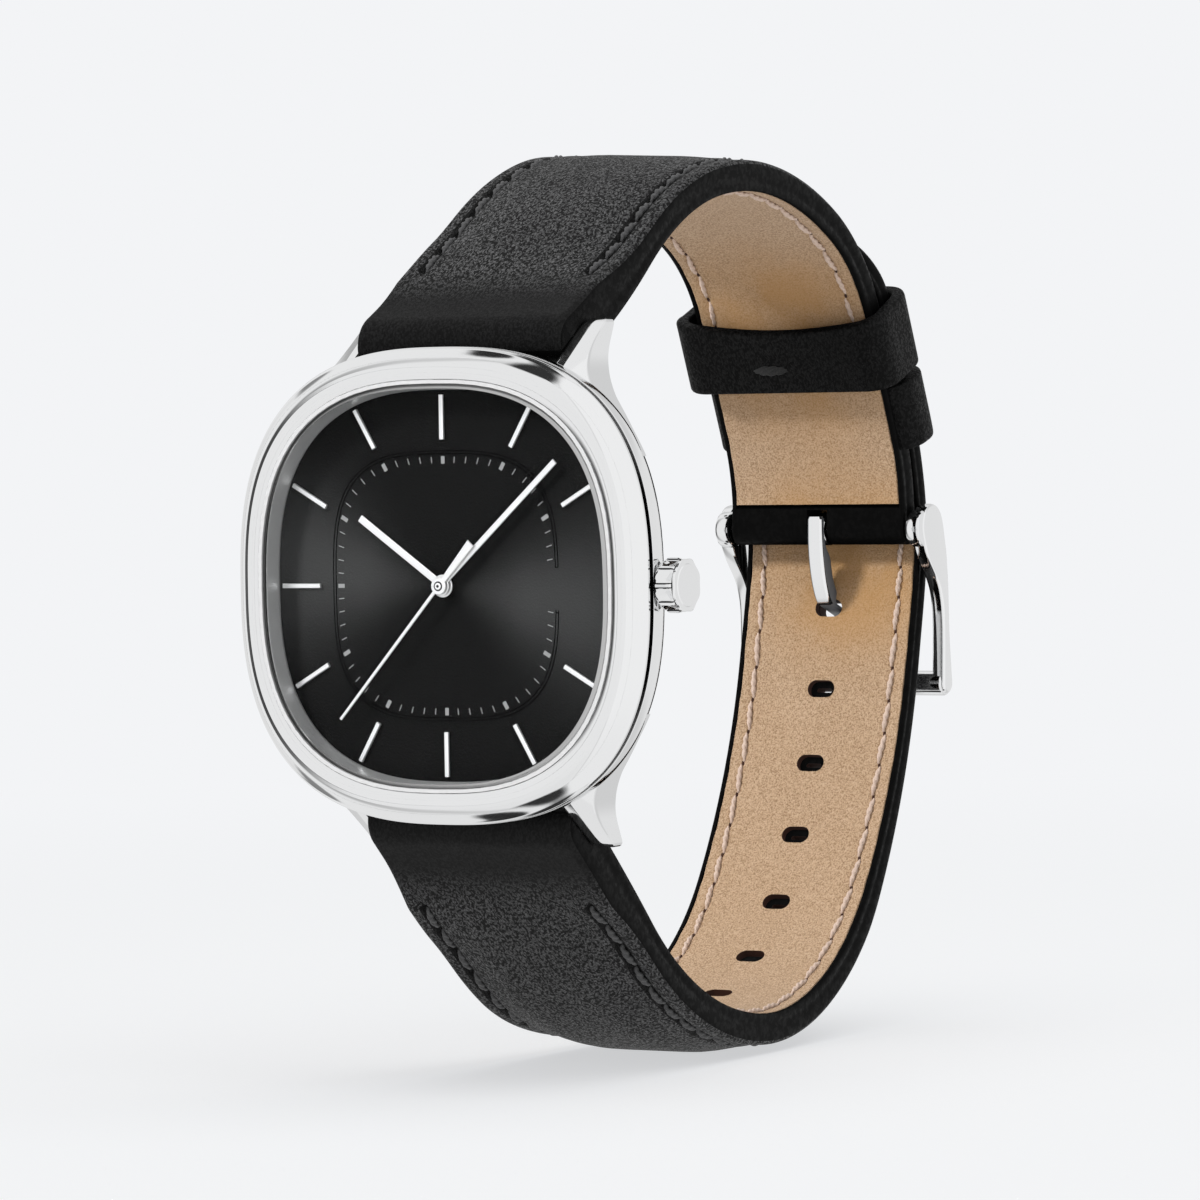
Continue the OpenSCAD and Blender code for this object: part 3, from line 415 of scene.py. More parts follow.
wall = finely(rounded([[19.3, BEZEL_Y, 0.03], [19.3, GROOVE_Y, 0.05], [CASE_R, GROOVE_Y, 0.1],
                       [CASE_R, -4.7, 0.6], [19.55, -3.5, 0.6], [18.8, -2.2, 0.6],
                       [17.7, -1.0, 0.12], [RIM_IN, -1.0, 0.05], [RIM_IN, -1.3, 0.05],
                       [CAVITY_R, -1.3, 0.05], [CAVITY_R, SEAT_Y, 0.05], [BORE_R, SEAT_Y, 0.05],
                       [BORE_R, BEZEL_Y, 0.03]]), 0.3)
band = cushion_ring(wall)
# Between the lugs the wall is hollowed out round the spring bars, for the strap's ends
for z in (-BAR_Z, BAR_Z):
    off = band[..., 1:] - [BAR_Y, z]
    away = np.linalg.norm(off, axis=-1, keepdims=True)
    near = (np.abs(band[..., :1]) < LUG_IN) & (away < HOLLOW_R)
    pushed = [BAR_Y, z] + off / np.maximum(away, 0.01) * HOLLOW_R
    band[..., 1:] = np.where(near, pushed, band[..., 1:])
in_groove = (wall[:, 0] < 19.86) & (wall[:, 0] > 19.2) & (wall[:, 1] < -5.8)
shells = [skin(band, True, True, kinds=in_groove.astype(int))]

# A lug is a stack of sections, one at each height z. Its outer side follows a cubic from the case
# to the straight part below the tip, its inner side is straight, and both turn in at the tip.
tip_part = 20.6 + 1.5 * np.sin(np.linspace(0.06, 1, 16) * np.pi / 2)
rise_z = np.concatenate([np.linspace(10.6, 20.6, 60), tip_part])
a, d = np.array([CASE_R * 0.915, CASE_R * 0.53]), np.array([LUG_TIP_X, LUG_TIP_Z - 0.8])
b, c = a + 6.2 * np.array([-0.527, 0.850]), d - [0, 4.6]
bend = cubic(a, b, c, d, np.linspace(0, 1, 60)[:, None])
outer = np.interp(rise_z, np.append(bend[:, 1], LUG_TIP_Z), np.append(bend[:, 0], LUG_TIP_X))


def turned_in(radius):
    """How far a quarter circle at the lug's tip has turned in at each height, as a share."""
    past = np.clip((rise_z - (LUG_TIP_Z - radius)) / radius, 0, 1)
    return 1 - np.sqrt(1 - past ** 2)


outer = outer - 0.5 * turned_in(TIP_ROUND)
inner = LUG_IN + 0.6 * turned_in(INNER_ROUND)
rear = smoothed(np.interp(rise_z, [10.5, 12.7, 15.5, 17.9, 20.7, 21.8, 22.2],
                          [-3.8, -3.2, -1.9, -0.05, 1.8, 2.3, 2.3]), 3)

# Columns of the front: a narrow chamfer, a slope, then the facet up to the outer crease
on_slope = np.array([0, 0.07, 0.14, 0.19, 0.22, 0.3, 0.45, 0.6, 0.75, 0.88, 0.93, 0.98, 1.06])
on_facet = np.array([0.1, 0.2, 0.3, 0.4, 0.5, 0.6, 0.7, 0.8, 0.88, 0.94, 0.97, 1])
width = (outer - inner)[:, None]
slope_w = np.minimum(1.0, 0.55 * width)
front_x = np.concatenate([inner[:, None] + on_slope / on_slope[-1] * slope_w,
                          inner[:, None] + slope_w + (width - slope_w) * on_facet], 1)
# The front lies on a cone: it falls 1.5 times as fast as the cushion through the point grows
# wider than the case, but never stands in front of the groove. It rounds off at the tip.
wide = (front_x ** SQUARE + rise_z[:, None] ** SQUARE) ** (1 / SQUARE)
front_y = np.maximum(SHOULDER_Y + LUG_SLOPE * (wide - CASE_R), GROOVE_Y)
front_y = front_y + TIP_ROUND * turned_in(TIP_ROUND)[:, None]
# The inner edge slopes back towards the strap, and its very rim is chamfered
into = (front_x - inner[:, None]) / slope_w
front_y += 0.25 * np.clip(1 - (into - 0.19) / 0.71, 0, 1) + 0.14 * np.clip(1 - into / 0.18, 0, 1)
front_y[:, -1] += 0.06


def lug_face(x, y):
    """A lug's face from its columns' x and y at each height."""
    x, y, z = np.broadcast_arrays(np.reshape(x, (len(rise_z), -1)), y, rise_z[:, None])
    return np.stack([x, y, z], -1)


down = np.array([0.04, 0.12, 0.3, 0.5, 0.7, 0.88, 0.97])
near_y, far_y, rear_y = front_y[:, :1], front_y[:, -1:], rear[:, None]
lug = np.concatenate([lug_face(front_x, front_y),
                      lug_face(outer + 0.03, far_y + (rear_y - far_y) * down),
                      lug_face(outer - 0.06, rear_y), lug_face(inner + 0.06, rear_y),
                      lug_face(inner, near_y + (rear_y - near_y) * down[::-1])], 1)
for sx in (1, -1):
    for sz in (1, -1):
        shells.append(skin(lug * [sx, 1, sz], False, True, ends=True))
case_body = solid("case_body", shells, [polished, painted_groove_shade], smooth=28)
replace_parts(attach(case_body, "watch"), "mid_case")

# Movement
#
# A quartz movement in a white holder ring: brass plate and gears, a copper coil, a green circuit
# board and a steel coin cell under a spring strap. None of it shows with the case closed.


def moulded(name, colour, roughness, grain, depth, specular=0.5):
    """Plastic, rubber or lacquer: one colour that varies a little, and a fine even grain."""
    made = finish_of(name, {"Roughness": roughness, "Specular IOR Level": specular})
    tree = made.node_tree
    speck = noise(tree, spot_in(tree), grain, 4.0)
    shade = mix(tree, speck, tuple(0.86 * v for v in colour),
                tuple(min(1.12 * v, 1) for v in colour))
    return lay(made, shade, height=speck, strength=depth)


satin = metal("satin_steel", (0.74, 0.745, 0.75), 0.24, 1400.0, (1, 6, 0.15), 0.08)
brass = metal("movement_brass", (0.78, 0.6, 0.28), 0.26, 1500.0, (0.3, 1, 3), 0.06)
gilt = metal("gear_brass", (0.82, 0.66, 0.34), 0.18, 2500.0, depth=0.03)
cell_steel = metal("cell_steel", (0.66, 0.67, 0.68), 0.3, 1800.0, (4, 1, 0.3), 0.05)
copper = metal("copper_wire", (0.72, 0.33, 0.17), 0.3, 5200.0, (6, 0.4, 0.4), 0.4)
white_plastic = moulded("white_plastic", (0.8, 0.8, 0.78), 0.5, 1600.0, 0.05)
board_green = moulded("board", (0.02, 0.16, 0.06), 0.35, 1200.0, 0.08)
rubber = moulded("black_rubber", (0.018, 0.018, 0.02), 0.6, 2200.0, 0.08)
clear_nylon = moulded("clear_nylon", (0.62, 0.62, 0.62), 0.45, 2200.0, 0.05)
inner_parts = {
    white_plastic: ["movement_ring"], brass: ["main_plate", "train_cover"], copper: ["coil"],
    board_green: ["circuit_board"], cell_steel: ["battery", "battery_strap"],
    gilt: ["cannon_pinion", "minute_wheel", "hour_wheel", "second_wheel"],
    satin: ["crown_tube", "stem", "sliding_pinion", "upper_bar_tube", "lower_bar_tube",
            "buckle_bar"],
    clear_nylon: ["crystal_gasket"], rubber: ["back_gasket", "crown_gasket"],
}
for made, names in inner_parts.items():
    for name in names:
        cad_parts[name].data.materials.clear()
        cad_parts[name].data.materials.append(made)

# Dial
#
# A brass plate lacquered black over a sunray brushing, with a sunk minute track printed in dark
# and pale grey, and eleven steel bars riveted on. A slanted steel ring frames it.

DIAL_Y, DIAL_BACK, DIAL_HOLE = -6.0, -5.6, 0.8


def dial_lacquer():
    """Black lacquer over brushing: streaks that run out from the centre, two lighter fans at the
    left and right that are painted highlight, and very fine rings."""
    made = finish_of("dial_lacquer", {"Roughness": 0.45, "Specular IOR Level": 0.02})
    tree = made.node_tree
    spot = spot_in(tree)
    part = parts_of(tree, spot)
    turned = math(tree, "ARCTAN2", part["Z"], part["X"])
    away = vector(tree, "LENGTH", joined(tree, part["X"], 0.0, part["Z"]))["Value"]
    streak = noise(tree, joined(tree, turned, math(tree, "MULTIPLY", away, 2.0)), 40.0, 8.0, 0.75)
    rings = noise(tree, joined(tree, math(tree, "MULTIPLY", away, 1000.0),
                               math(tree, "MULTIPLY", turned, 0.5)), 4.5, 6.0, 0.8)
    grain = math(tree, "MULTIPLY_ADD", streak, 0.3, math(tree, "MULTIPLY", rings, 0.5))
    grain = math(tree, "MULTIPLY_ADD", noise(tree, spot, 5200.0, 2.0), 1.2, grain)
    # Two fans at the left and right, fading towards the centre: painted highlight of the brushing
    fan_highlight = math(tree, "POWER", math(tree, "COSINE", math(tree, "ADD", turned, 0.12)), 10.0)
    fan_highlight = math(tree, "MULTIPLY", fan_highlight, ramp(tree, away, 0.001, 0.008, 0.1, 1.0, soft=False))
    painted_highlight = math(tree, "MULTIPLY", fan_highlight, ramp(tree, grain, 0.6, 1.4, 0.82, 1.15, soft=False))
    shade = mix(tree, painted_highlight, (0.0075, 0.0075, 0.0075), (0.05, 0.05, 0.05))
    return lay(made, shade, height=grain, strength=0.3)


black_dial = dial_lacquer()
angles = np.linspace(0, 2 * np.pi, 240, endpoint=False)
squared, circle = cushion(angles), np.stack([np.cos(angles), np.sin(angles)], -1)


def plate_rings(rings):
    """Rings [share of the cushion's shape, half width, y] from a round hole out to the cushion."""
    flat = [(squared * share + circle * (1 - share)) * half for share, half, y in rings]
    return np.stack([np.insert(f, 1, y, axis=1) for f, (share, half, y) in zip(flat, rings)])


face = [[k / 12, DIAL_HOLE + (17.05 - DIAL_HOLE) * k / 12, DIAL_Y] for k in range(13)]
dial_plate = plate_rings(face + [[1, 17.1, DIAL_Y + 0.05], [1, 17.1, DIAL_BACK],
                                 [0, DIAL_HOLE, DIAL_BACK]])
dial = solid("dial_plate", [skin(dial_plate, True, True)], [black_dial])
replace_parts(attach(dial, "watch"), "dial")

# The minute track lies between two thin dark lines, open at 3 o'clock, with its ends closed
TRACK_X, TRACK_Z, TRACK_SQUARE = 11.0, 11.3, 3.2
GAP_TOP, GAP_LOW = 1.5, -1.95
PRINT_Y, PRINT_BACK = DIAL_Y - 0.006, DIAL_Y - 0.001


def track(inset, turned):
    """Point of the track's curve |x/a|^n + |z/b|^n = 1, moved in by an inset."""
    return cushion(turned, TRACK_SQUARE) * [TRACK_X - inset, TRACK_Z - inset]


def ribbon(outer, inner):
    """A thin printed line between two rows of points (x, z), as a closed strip."""
    rows = [np.insert(row, 1, y, axis=1) for row, y in
            ((outer, PRINT_Y), (inner, PRINT_Y), (inner, PRINT_BACK), (outer, PRINT_BACK))]
    return skin(np.stack(rows, 1), False, True, ends=True)


def direction(turned):
    """The direction (x, z) at a turn."""
    return np.array([np.cos(turned), np.sin(turned)])


first = np.arctan2(GAP_TOP, TRACK_X - 0.1)
last = np.arctan2(GAP_LOW, TRACK_X - 0.1) + 2 * np.pi
around = np.linspace(first, last, 300)
lines = [ribbon(track(a, around), track(b, around)) for a, b in ((0.0, 0.09), (0.25, 0.34))]
for end in around[[0, -2]]:
    rows = np.array([track(s, end) for s in np.linspace(0, 0.34, 5)])
    lines.append(ribbon(rows + [0, 0.045], rows - [0, 0.045]))
ticks = []
for minute in (*range(14), *range(17, 60)):
    turned = np.pi / 2 - minute * np.pi / 30
    begin, end, wide = (0.5, 1.12, 0.17) if minute % 5 == 0 else (0.55, 1.07, 0.035)
    ends = np.array([direction(turned) * np.linalg.norm(track(s, turned)) for s in (begin, end)])
    aside = direction(turned + np.pi / 2) * wide
    ticks.append(ribbon(ends + aside, ends - aside))
track_ink = moulded("track_ink", (0.001, 0.001, 0.001), 0.8, 3000.0, 0.1, specular=0.0)
pale_ink = moulded("pale_ink", (0.3, 0.3, 0.3), 0.6, 3000.0, 0.15)
for name, made, ink in (("track_lines", lines, track_ink), ("minute_marks", ticks, pale_ink)):
    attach(solid(name, made, [ink]), "watch")

bright_bar = metal("brushed_bar", (0.93, 0.93, 0.93), 0.3, 2600.0, depth=0.03, metallic=0.75)
BEVEL = 0.045


def bar(start, end, wide, low, high, end_wide=None):
    """A flat bar on the dial from start to end, both (x, z), with small bevels along its front."""
    line = unit(end - start)
    right = np.array([line[1], -line[0]])
    rows = []
    for spot, w in ((start, wide / 2), (end, (end_wide or wide) / 2)):
        s, y = np.transpose([[-w + BEVEL, low], [-w, low + BEVEL], [-w, high], [w, high],
                             [w, low + BEVEL], [w - BEVEL, low]])
        rows.append(np.insert(spot + s[:, None] * right, 1, y, axis=1))
    return skin(np.stack(rows), False, True, ends=True)


markers = []
for hour in (1, 2, *range(4, 13)):
    line = direction(np.pi / 2 - hour * np.pi / 6)
    near = np.linalg.norm(cushion(np.pi / 2 - hour * np.pi / 6, 3.0)) * 12.2
    markers.append(bar(line * near, line * (near + 3.7), 0.38, DIAL_Y - 0.25, DIAL_Y))
marker_bars = solid("hour_bars", markers, [bright_bar])
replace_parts(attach(marker_bars, "watch"), "hour_markers")

satin_ring = metal("satin_ring", (0.58, 0.58, 0.58), 0.3, 2600.0, (0.1, 3, 0.1), 0.03, 0.02,
                   metallic=0.7)
CRYSTAL_BACK = -7.33
slant = rounded([[17.18, CRYSTAL_BACK, 0.02], [17.18, DIAL_Y, 0.02], [16.3, DIAL_Y, 0.03],
                 [16.3, DIAL_Y - 0.15, 0.05], [16.8, CRYSTAL_BACK, 0.05]])
rehaut = solid("slanted_ring", [skin(cushion_ring(finely(slant, 0.3)), True, True)], [satin_ring])
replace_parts(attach(rehaut, "watch"), "rehaut")

# Hands
#
# Three flat steel bars stamped from sheet and brushed white, pressed on concentric posts; the
# seconds hand has a broader tail and a turned cap with a dark joint and a dark dot.


def disc(radius, low, high, hole):
    """A turned disc round the Y axis with a bevelled front rim, from a hole outwards."""
    a = np.linspace(0, 2 * np.pi, 64, endpoint=False)
    rows = [np.stack([r * np.cos(a), 0 * a + y, r * np.sin(a)], -1) for r, y in
            ((hole, low), (radius - 0.05, low), (radius, low + 0.05), (radius, high), (hole, high))]
    return skin(np.stack(rows, 1), True, True)


# Each hand: its turn from 12 o'clock, its front, its bars (from, to, width, end width) and its
# discs (radius, front, back, hole), and which of the discs are dark
for node, degrees, body, low, bars, discs, dark in (
        ("hour_hand", 305.4, "hour_train", -6.45, [(0, 9.8, 0.62, 0.62)],
         [(0.95, -0.02, 0.15, 0.4315)], ()),
        ("minute_hand", 47.4, "minute_train", -6.77, [(0, 15.2, 0.5, 0.5)],
         [(0.8, -0.02, 0.15, 0.364)], ()),
        ("second_hand", 221.4, "second_train", -7.09, [(0, 14.9, 0.3, 0.24), (0, -4.8, 0.4, 0.72)],
         [(0.7, -0.02, 0.15, 0.319), (0.42, -0.06, 0.0, 0.004), (0.3, -0.1, 0.0, 0.004),
          (0.15, -0.125, 0.0, 0.004)], (1, 3))):
    line = direction(np.radians(90 - degrees))
    shells = [bar(line * a, line * b, wide, low, low + 0.15, end_wide)
              for a, b, wide, end_wide in bars]
    for k, (radius, front, rear_side, hole) in enumerate(discs):
        p, f, kind = disc(radius, low + front, low + rear_side, hole)
        shells.append((p, f, [int(k in dark)] * len(f)))
    made = solid(node + "_metal", shells, [bright_bar, shade_and_joint_dark])
    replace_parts(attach(made, body), node)

# Bezel and crystal
#
# A domed polished steel ring pressed on the mid-case. It holds a flat mineral crystal in a clear
# nylon gasket. The crystal's ground rim, painted dark at a slant, shows as the dark line at the
# bezel's inner edge.

dome = rounded([[BORE_R, -8.09, 0.06], [17.5, -8.2, 0.28], [18.05, -8.3, 0.5], [18.7, -8.06, 0.5],
                [19.25, -7.5, 0.4], [19.7, -6.95, 0.12], [CASE_R, -6.78, 0.07],
                [CASE_R, BEZEL_Y, 0.05], [BORE_R, BEZEL_Y, 0.03]], 8)
bezel = solid("bezel_ring", [skin(cushion_ring(finely(dome, 0.25), 320), True, True)], [polished],
              smooth=40)
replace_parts(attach(bezel, "watch"), "bezel")

clear = finish_of("crystal", {"Base Color": (1, 1, 1, 1), "Roughness": 0.0, "IOR": 1.06,
                              "Transmission Weight": 1.0, "Specular IOR Level": 0.3})
tree = clear.node_tree
ray = wire(tree, "LightPath").outputs
shadow = math(tree, "MAXIMUM", ray["Is Shadow Ray"], ray["Is Diffuse Ray"])
pass_light = wire(tree, "BsdfTransparent", {0: (0.97, 0.98, 0.98, 1)}).outputs[0]
glass = tree.nodes["Principled BSDF"].outputs[0]
mixed = wire(tree, "MixShader", {0: shadow, 1: glass, 2: pass_light}).outputs[0]
tree.links.new(mixed, tree.nodes["Material Output"].inputs["Surface"])
# The ground rim is opaque: its colour is painted by the view's slant, light grey from the front and
# dark at a slant, as painted shade
rim = metal("ground_rim", (0.4, 0.4, 0.4), 0.16)
tree = rim.node_tree
slanted = wire(tree, "LayerWeight", {"Blend": 0.5}).outputs["Facing"]
lay(rim, mix(tree, ramp(tree, slanted, 0.3, 0.6, 0.0, 1.0), (0.5, 0.5, 0.5), (0.1, 0.1, 0.1)))
FRONT, REAR = -8.25, -7.35
pane = cushion_ring([[0.02, FRONT], [6, FRONT], [12, FRONT], [16.42, FRONT], [16.45, -8.24],
                     [16.83, -7.92], [16.85, -7.89], [16.85, -7.36], [16.8, REAR], [8, REAR],
                     [0.02, REAR]], 240)
kinds = np.isin(np.arange(pane.shape[1]), (4, 5, 6)).astype(int)
crystal = solid("crystal_pane", [skin(pane, True, True, kinds=kinds)], [clear, rim])
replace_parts(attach(crystal, "watch"), "crystal")

# Case back
#
# A steel lid with a sloped rim, turned in fine circles. A lip inside the rim snaps it on the case,
# and a notch at its lower edge takes the case knife.

LIP_R, LIP_IN, LID_INSIDE, LIP_Y = 15.45, 14.6, -1.02, -1.5
NOTCH_Y = -0.9
lid = cushion_ring([[0.05, 0], [4, 0], [8, 0], [11.8, 0], [12.0, -0.036], [12.2, 0], [14, 0],
                    [15.5, 0], [16.6, 0], [16.85, -0.08], [17.1, -0.35], [17.3, -0.65],
                    [17.3, -1.0], [LIP_R, -1.0], [LIP_R, LIP_Y], [LIP_IN, LIP_Y],
                    [LIP_IN, LID_INSIDE], [7, LID_INSIDE], [0.05, LID_INSIDE]])
notch = (np.abs(lid[..., 0]) < 2) & (lid[..., 2] < -16.5) & (lid[..., 1] > NOTCH_Y)
lid[..., 1] = np.where(notch, NOTCH_Y, lid[..., 1])
circular = metal("circular_satin", (0.76, 0.765, 0.77), 0.22)
tree = circular.node_tree
reach = vector(tree, "LENGTH", vector(tree, "MULTIPLY", spot_in(tree), (1, 0, 1))[0])["Value"]
lay(circular, height=noise(tree, joined(tree, reach), 9000.0, 3.0), strength=0.25, deep=0.04)
back_lid = solid("back_lid", [skin(lid, True, True)], [circular])
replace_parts(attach(back_lid, "watch"), "case_back")

# Crown
#
# The winding crown: a steel body with eight scooped panels between narrow ridges, a neck, and a
# thin scalloped disc with a plain flat face.

CROWN_Y, CROWN_R = -4.2, 2.27
HALF_PANEL = np.pi / 8
turned = np.linspace(0, 2 * np.pi, 256, endpoint=False)
from_ridge = np.abs((turned + HALF_PANEL) % (2 * HALF_PANEL) - HALF_PANEL)
ridge = np.clip(1 - from_ridge / np.radians(6.5), 0, 1)
panel = 0.3 * (1 - ridge ** 0.8) * (1 - 0.25 * np.cos(np.pi * from_ridge / HALF_PANEL))
scallop = 0.065 * (1 + np.cos(turned * 8))
# Each ring: x, radius, and how deep the panels are scooped there; -1 is the scalloped disc
rows = []
for x, radius, scoop in ((20.07, 1.5, 0), (20.07, 1.98, 0), (20.12, 2.05, 0.1), (20.3, 2.24, 0.6),
                         (20.55, CROWN_R, 1), (21.2, CROWN_R, 1), (21.5, 2.25, 0.8),
                         (21.66, 2.14, 0.35), (21.72, 2.06, 0.1), (21.78, 1.96, 0),
                         (21.84, 1.96, 0), (21.86, 2.2, -1), (21.9, CROWN_R, -1),
                         (22.06, CROWN_R, -1), (22.1, 2.22, -1), (22.12, 1.8, 0),
                         (22.2, 1.72, 0), (22.2, 1.0, 0), (22.2, 0.02, 0)):
    r = radius - (scallop if scoop < 0 else scoop * panel)
    rows.append(np.stack([0 * r + x, CROWN_Y - r * np.cos(turned), r * np.sin(turned)], -1))
# Narrow strips beside the ridges and round the neck take the dark steel: painted shade in the
# recesses
kinds = np.zeros((len(rows) - 1, len(turned)), int)
kinds[3:8] = (ridge > 0.0) & (ridge < 0.5)
kinds[8:11] = 1
crown = solid("winding_crown_body", [skin(np.stack(rows), False, True, ends=True, kinds=kinds)],
              [polished, shade_and_joint_dark], smooth=30)
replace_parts(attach(crown, "winding_crown"), "crown")

# Spring bars
#
# A tube with a spring-loaded plunger at each end, whose thin tip sits in a blind hole in the lug.
# The tubes are turned steel; each plunger slides by itself.


def rod(radius, x0, x1, y, z, edge, steps=56, tip=None):
    """A round bar along X with rounded rims. A tip (x, radius) makes its end thinner from x on."""
    a = np.linspace(0, 2 * np.pi, steps, endpoint=False)
    rings = [(x0, radius - edge), (x0 + edge * 0.3, radius - edge * 0.3), (x0 + edge, radius)]
    if tip:
        rings += [(tip[0], radius), (tip[0] + 0.05, tip[1]), (x1 - 0.1, tip[1]), (x1, tip[1] - 0.1)]
    else:
        rings += [(x1 - edge, radius), (x1 - edge * 0.3, radius - edge * 0.3), (x1, radius - edge)]
    rows = [np.stack([0 * a + x, y + r * np.cos(a), z + r * np.sin(a)], -1) for x, r in rings]
    return skin(np.stack(rows), False, True, ends=True)


for place, z in (("upper", BAR_Z), ("lower", -BAR_Z)):
    for side, sx in (("left", -1), ("right", 1)):
        points, faces, kinds = rod(0.45, 7.7, 10.65, BAR_Y, z, 0.05, 32, tip=(9.9, 0.2))
        if sx < 0:
            points, faces = points * [-1, 1, 1], [f[::-1] for f in faces]
        pin = solid(place + "_pin_" + side, [(points, faces, kinds)], [satin])
        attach(pin, place + "_" + side + "_plunger")
        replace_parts(pin, place + "_plunger_" + side)

# Strap path
#
# Both pieces of strap follow chains of arcs from their spring bars. The long piece bridges the
# buckle's hinge and then lies on the outside of the short piece up to its tip.

SHORT_START, LONG_START = (BAR_Y, BAR_Z, 27.5), (BAR_Y, -BAR_Z, -42.5)
SHORT_ARCS = ((14.5, 8.5), (39.5, -65.5), (10.5, -37), (11.5, 0), (9.2, -27.5))
LONG_ARCS = ((14.5, -2.5), (25.5, 42), (25, 59.5), (23, 21))
SHORT_LEN, LONG_ARCS_LEN, JOIN_S, TIP_S = 85.2, 88.0, 78.7, 56.0
# From the one middle line to the other: half of each thickness, and a gap
HALF_SHORT, GAP, HALF_LONG = 1.3, 0.1, 1.05
OVER = HALF_SHORT + GAP + HALF_LONG
SEAM, FIRST_HOLE, PITCH = 1.85, 8.0, 3.15


def along_arcs(start, arcs, s):
    """Points and headings at lengths s along a chain of arcs, each (length, turn). The chord to a
    point of an arc is its length times sin(t/2)/(t/2), and leads off at half the turn t."""
    y, z, heading = start[0], start[1], np.radians(start[2])
    out, done = np.empty((len(s), 3)), 0.0
    for length, bend in arcs:
        here = (s >= done) | (done == 0)
        for d, target in ((s[here] - done, here), (np.array([length]), None)):
            t = np.radians(bend) * d / length
            chord = d * np.sinc(t / 2 / np.pi)
            spot = np.stack([y + chord * np.cos(heading + t / 2),
                             z + chord * np.sin(heading + t / 2), heading + t], -1)
            if target is not None:
                out[target] = spot
        y, z, heading = spot[0]
        done += length
    return out


def short_path(s):
    """The short piece's middle line."""
    return along_arcs(SHORT_START, SHORT_ARCS, np.atleast_1d(np.asarray(s, float)))


def lapped(s):
    """The long piece's line where it lies on the short one: moved out from it, heading back."""
    p = short_path(s)
    return p + np.stack([-OVER * np.sin(p[:, 2]), OVER * np.cos(p[:, 2]), 0 * s + np.pi], -1)


free_end = along_arcs(LONG_START, LONG_ARCS, np.array([LONG_ARCS_LEN]))[0]
lap_end = lapped(np.array([JOIN_S]))[0]
chord = np.linalg.norm(lap_end[:2] - free_end[:2])
JOIN_LEN = 1.03 * chord
LONG_LEN = LONG_ARCS_LEN + JOIN_LEN + JOIN_S - TIP_S


def long_path(s):
    """The long piece's middle line: its arcs, a cubic bridge with handles of 0.42 chords, and its
    lap on the short piece."""
    s = np.atleast_1d(np.asarray(s, float))
    out = along_arcs(LONG_START, LONG_ARCS, s)
    u = np.clip((s - LONG_ARCS_LEN) / JOIN_LEN, 0, 1)[:, None]
    a, d = free_end[:2], lap_end[:2]
    b = a + direction(free_end[2]) * 0.42 * chord
    c = d - direction(lap_end[2]) * 0.42 * chord
    way = (1 - u) ** 2 * (b - a) + 2 * (1 - u) * u * (c - b) + u * u * (d - c)
    bridge = np.concatenate([cubic(a, b, c, d, u), np.arctan2(way[:, 1:], way[:, :1])], 1)
    lap = lapped(JOIN_S - (s - LONG_ARCS_LEN - JOIN_LEN))
    out = np.where((s > LONG_ARCS_LEN)[:, None], bridge, out)
    return np.where((s > LONG_ARCS_LEN + JOIN_LEN)[:, None], lap, out)


def ease(s, a, b):
    """Soft step from 0 at a to 1 at b."""
    u = np.clip((s - a) / (b - a), 0, 1)
    return u * u * (3 - 2 * u)


def short_half(s):
    """Half the strap's width, from 19.9 mm at the lugs to 18 mm."""
    return 9.95 - 0.95 * ease(s, 0, 60)


def long_half(s):
    """The long piece's half width, which ends in a rounded tip."""
    u = np.clip((s - LONG_LEN + 8) / 8.4, 0, 1)
    return short_half(s) * np.sqrt(np.maximum(1 - u * u, 0.0))


def short_thick(s):
    """The short piece's thickness; its fold round the buckle bar is 2.9 mm thick."""
    return 4.5 - 1.9 * ease(s, 3, 30) + 0.3 * ease(s, SHORT_LEN - 2.5, SHORT_LEN - 0.5)


def long_thick(s):
    """The long piece's thickness."""
    return 4.1 - 2.0 * ease(s, 3, LONG_ARCS_LEN)


def hump(s, begin, full, fall, end):
    """Soft step up from begin to full and down again from fall to end."""
    return ease(s, begin, full) * (1 - ease(s, fall, end))


def seam(s, last):
    """How far the seam has sunk in at s, from 0 to 1, and the way to the nearest needle hole."""
    steps = (s - FIRST_HOLE) / PITCH
    on = hump(s, FIRST_HOLE - 2, FIRST_HOLE, last, last + 2)
    return on, np.abs(steps - steps.round()) * PITCH


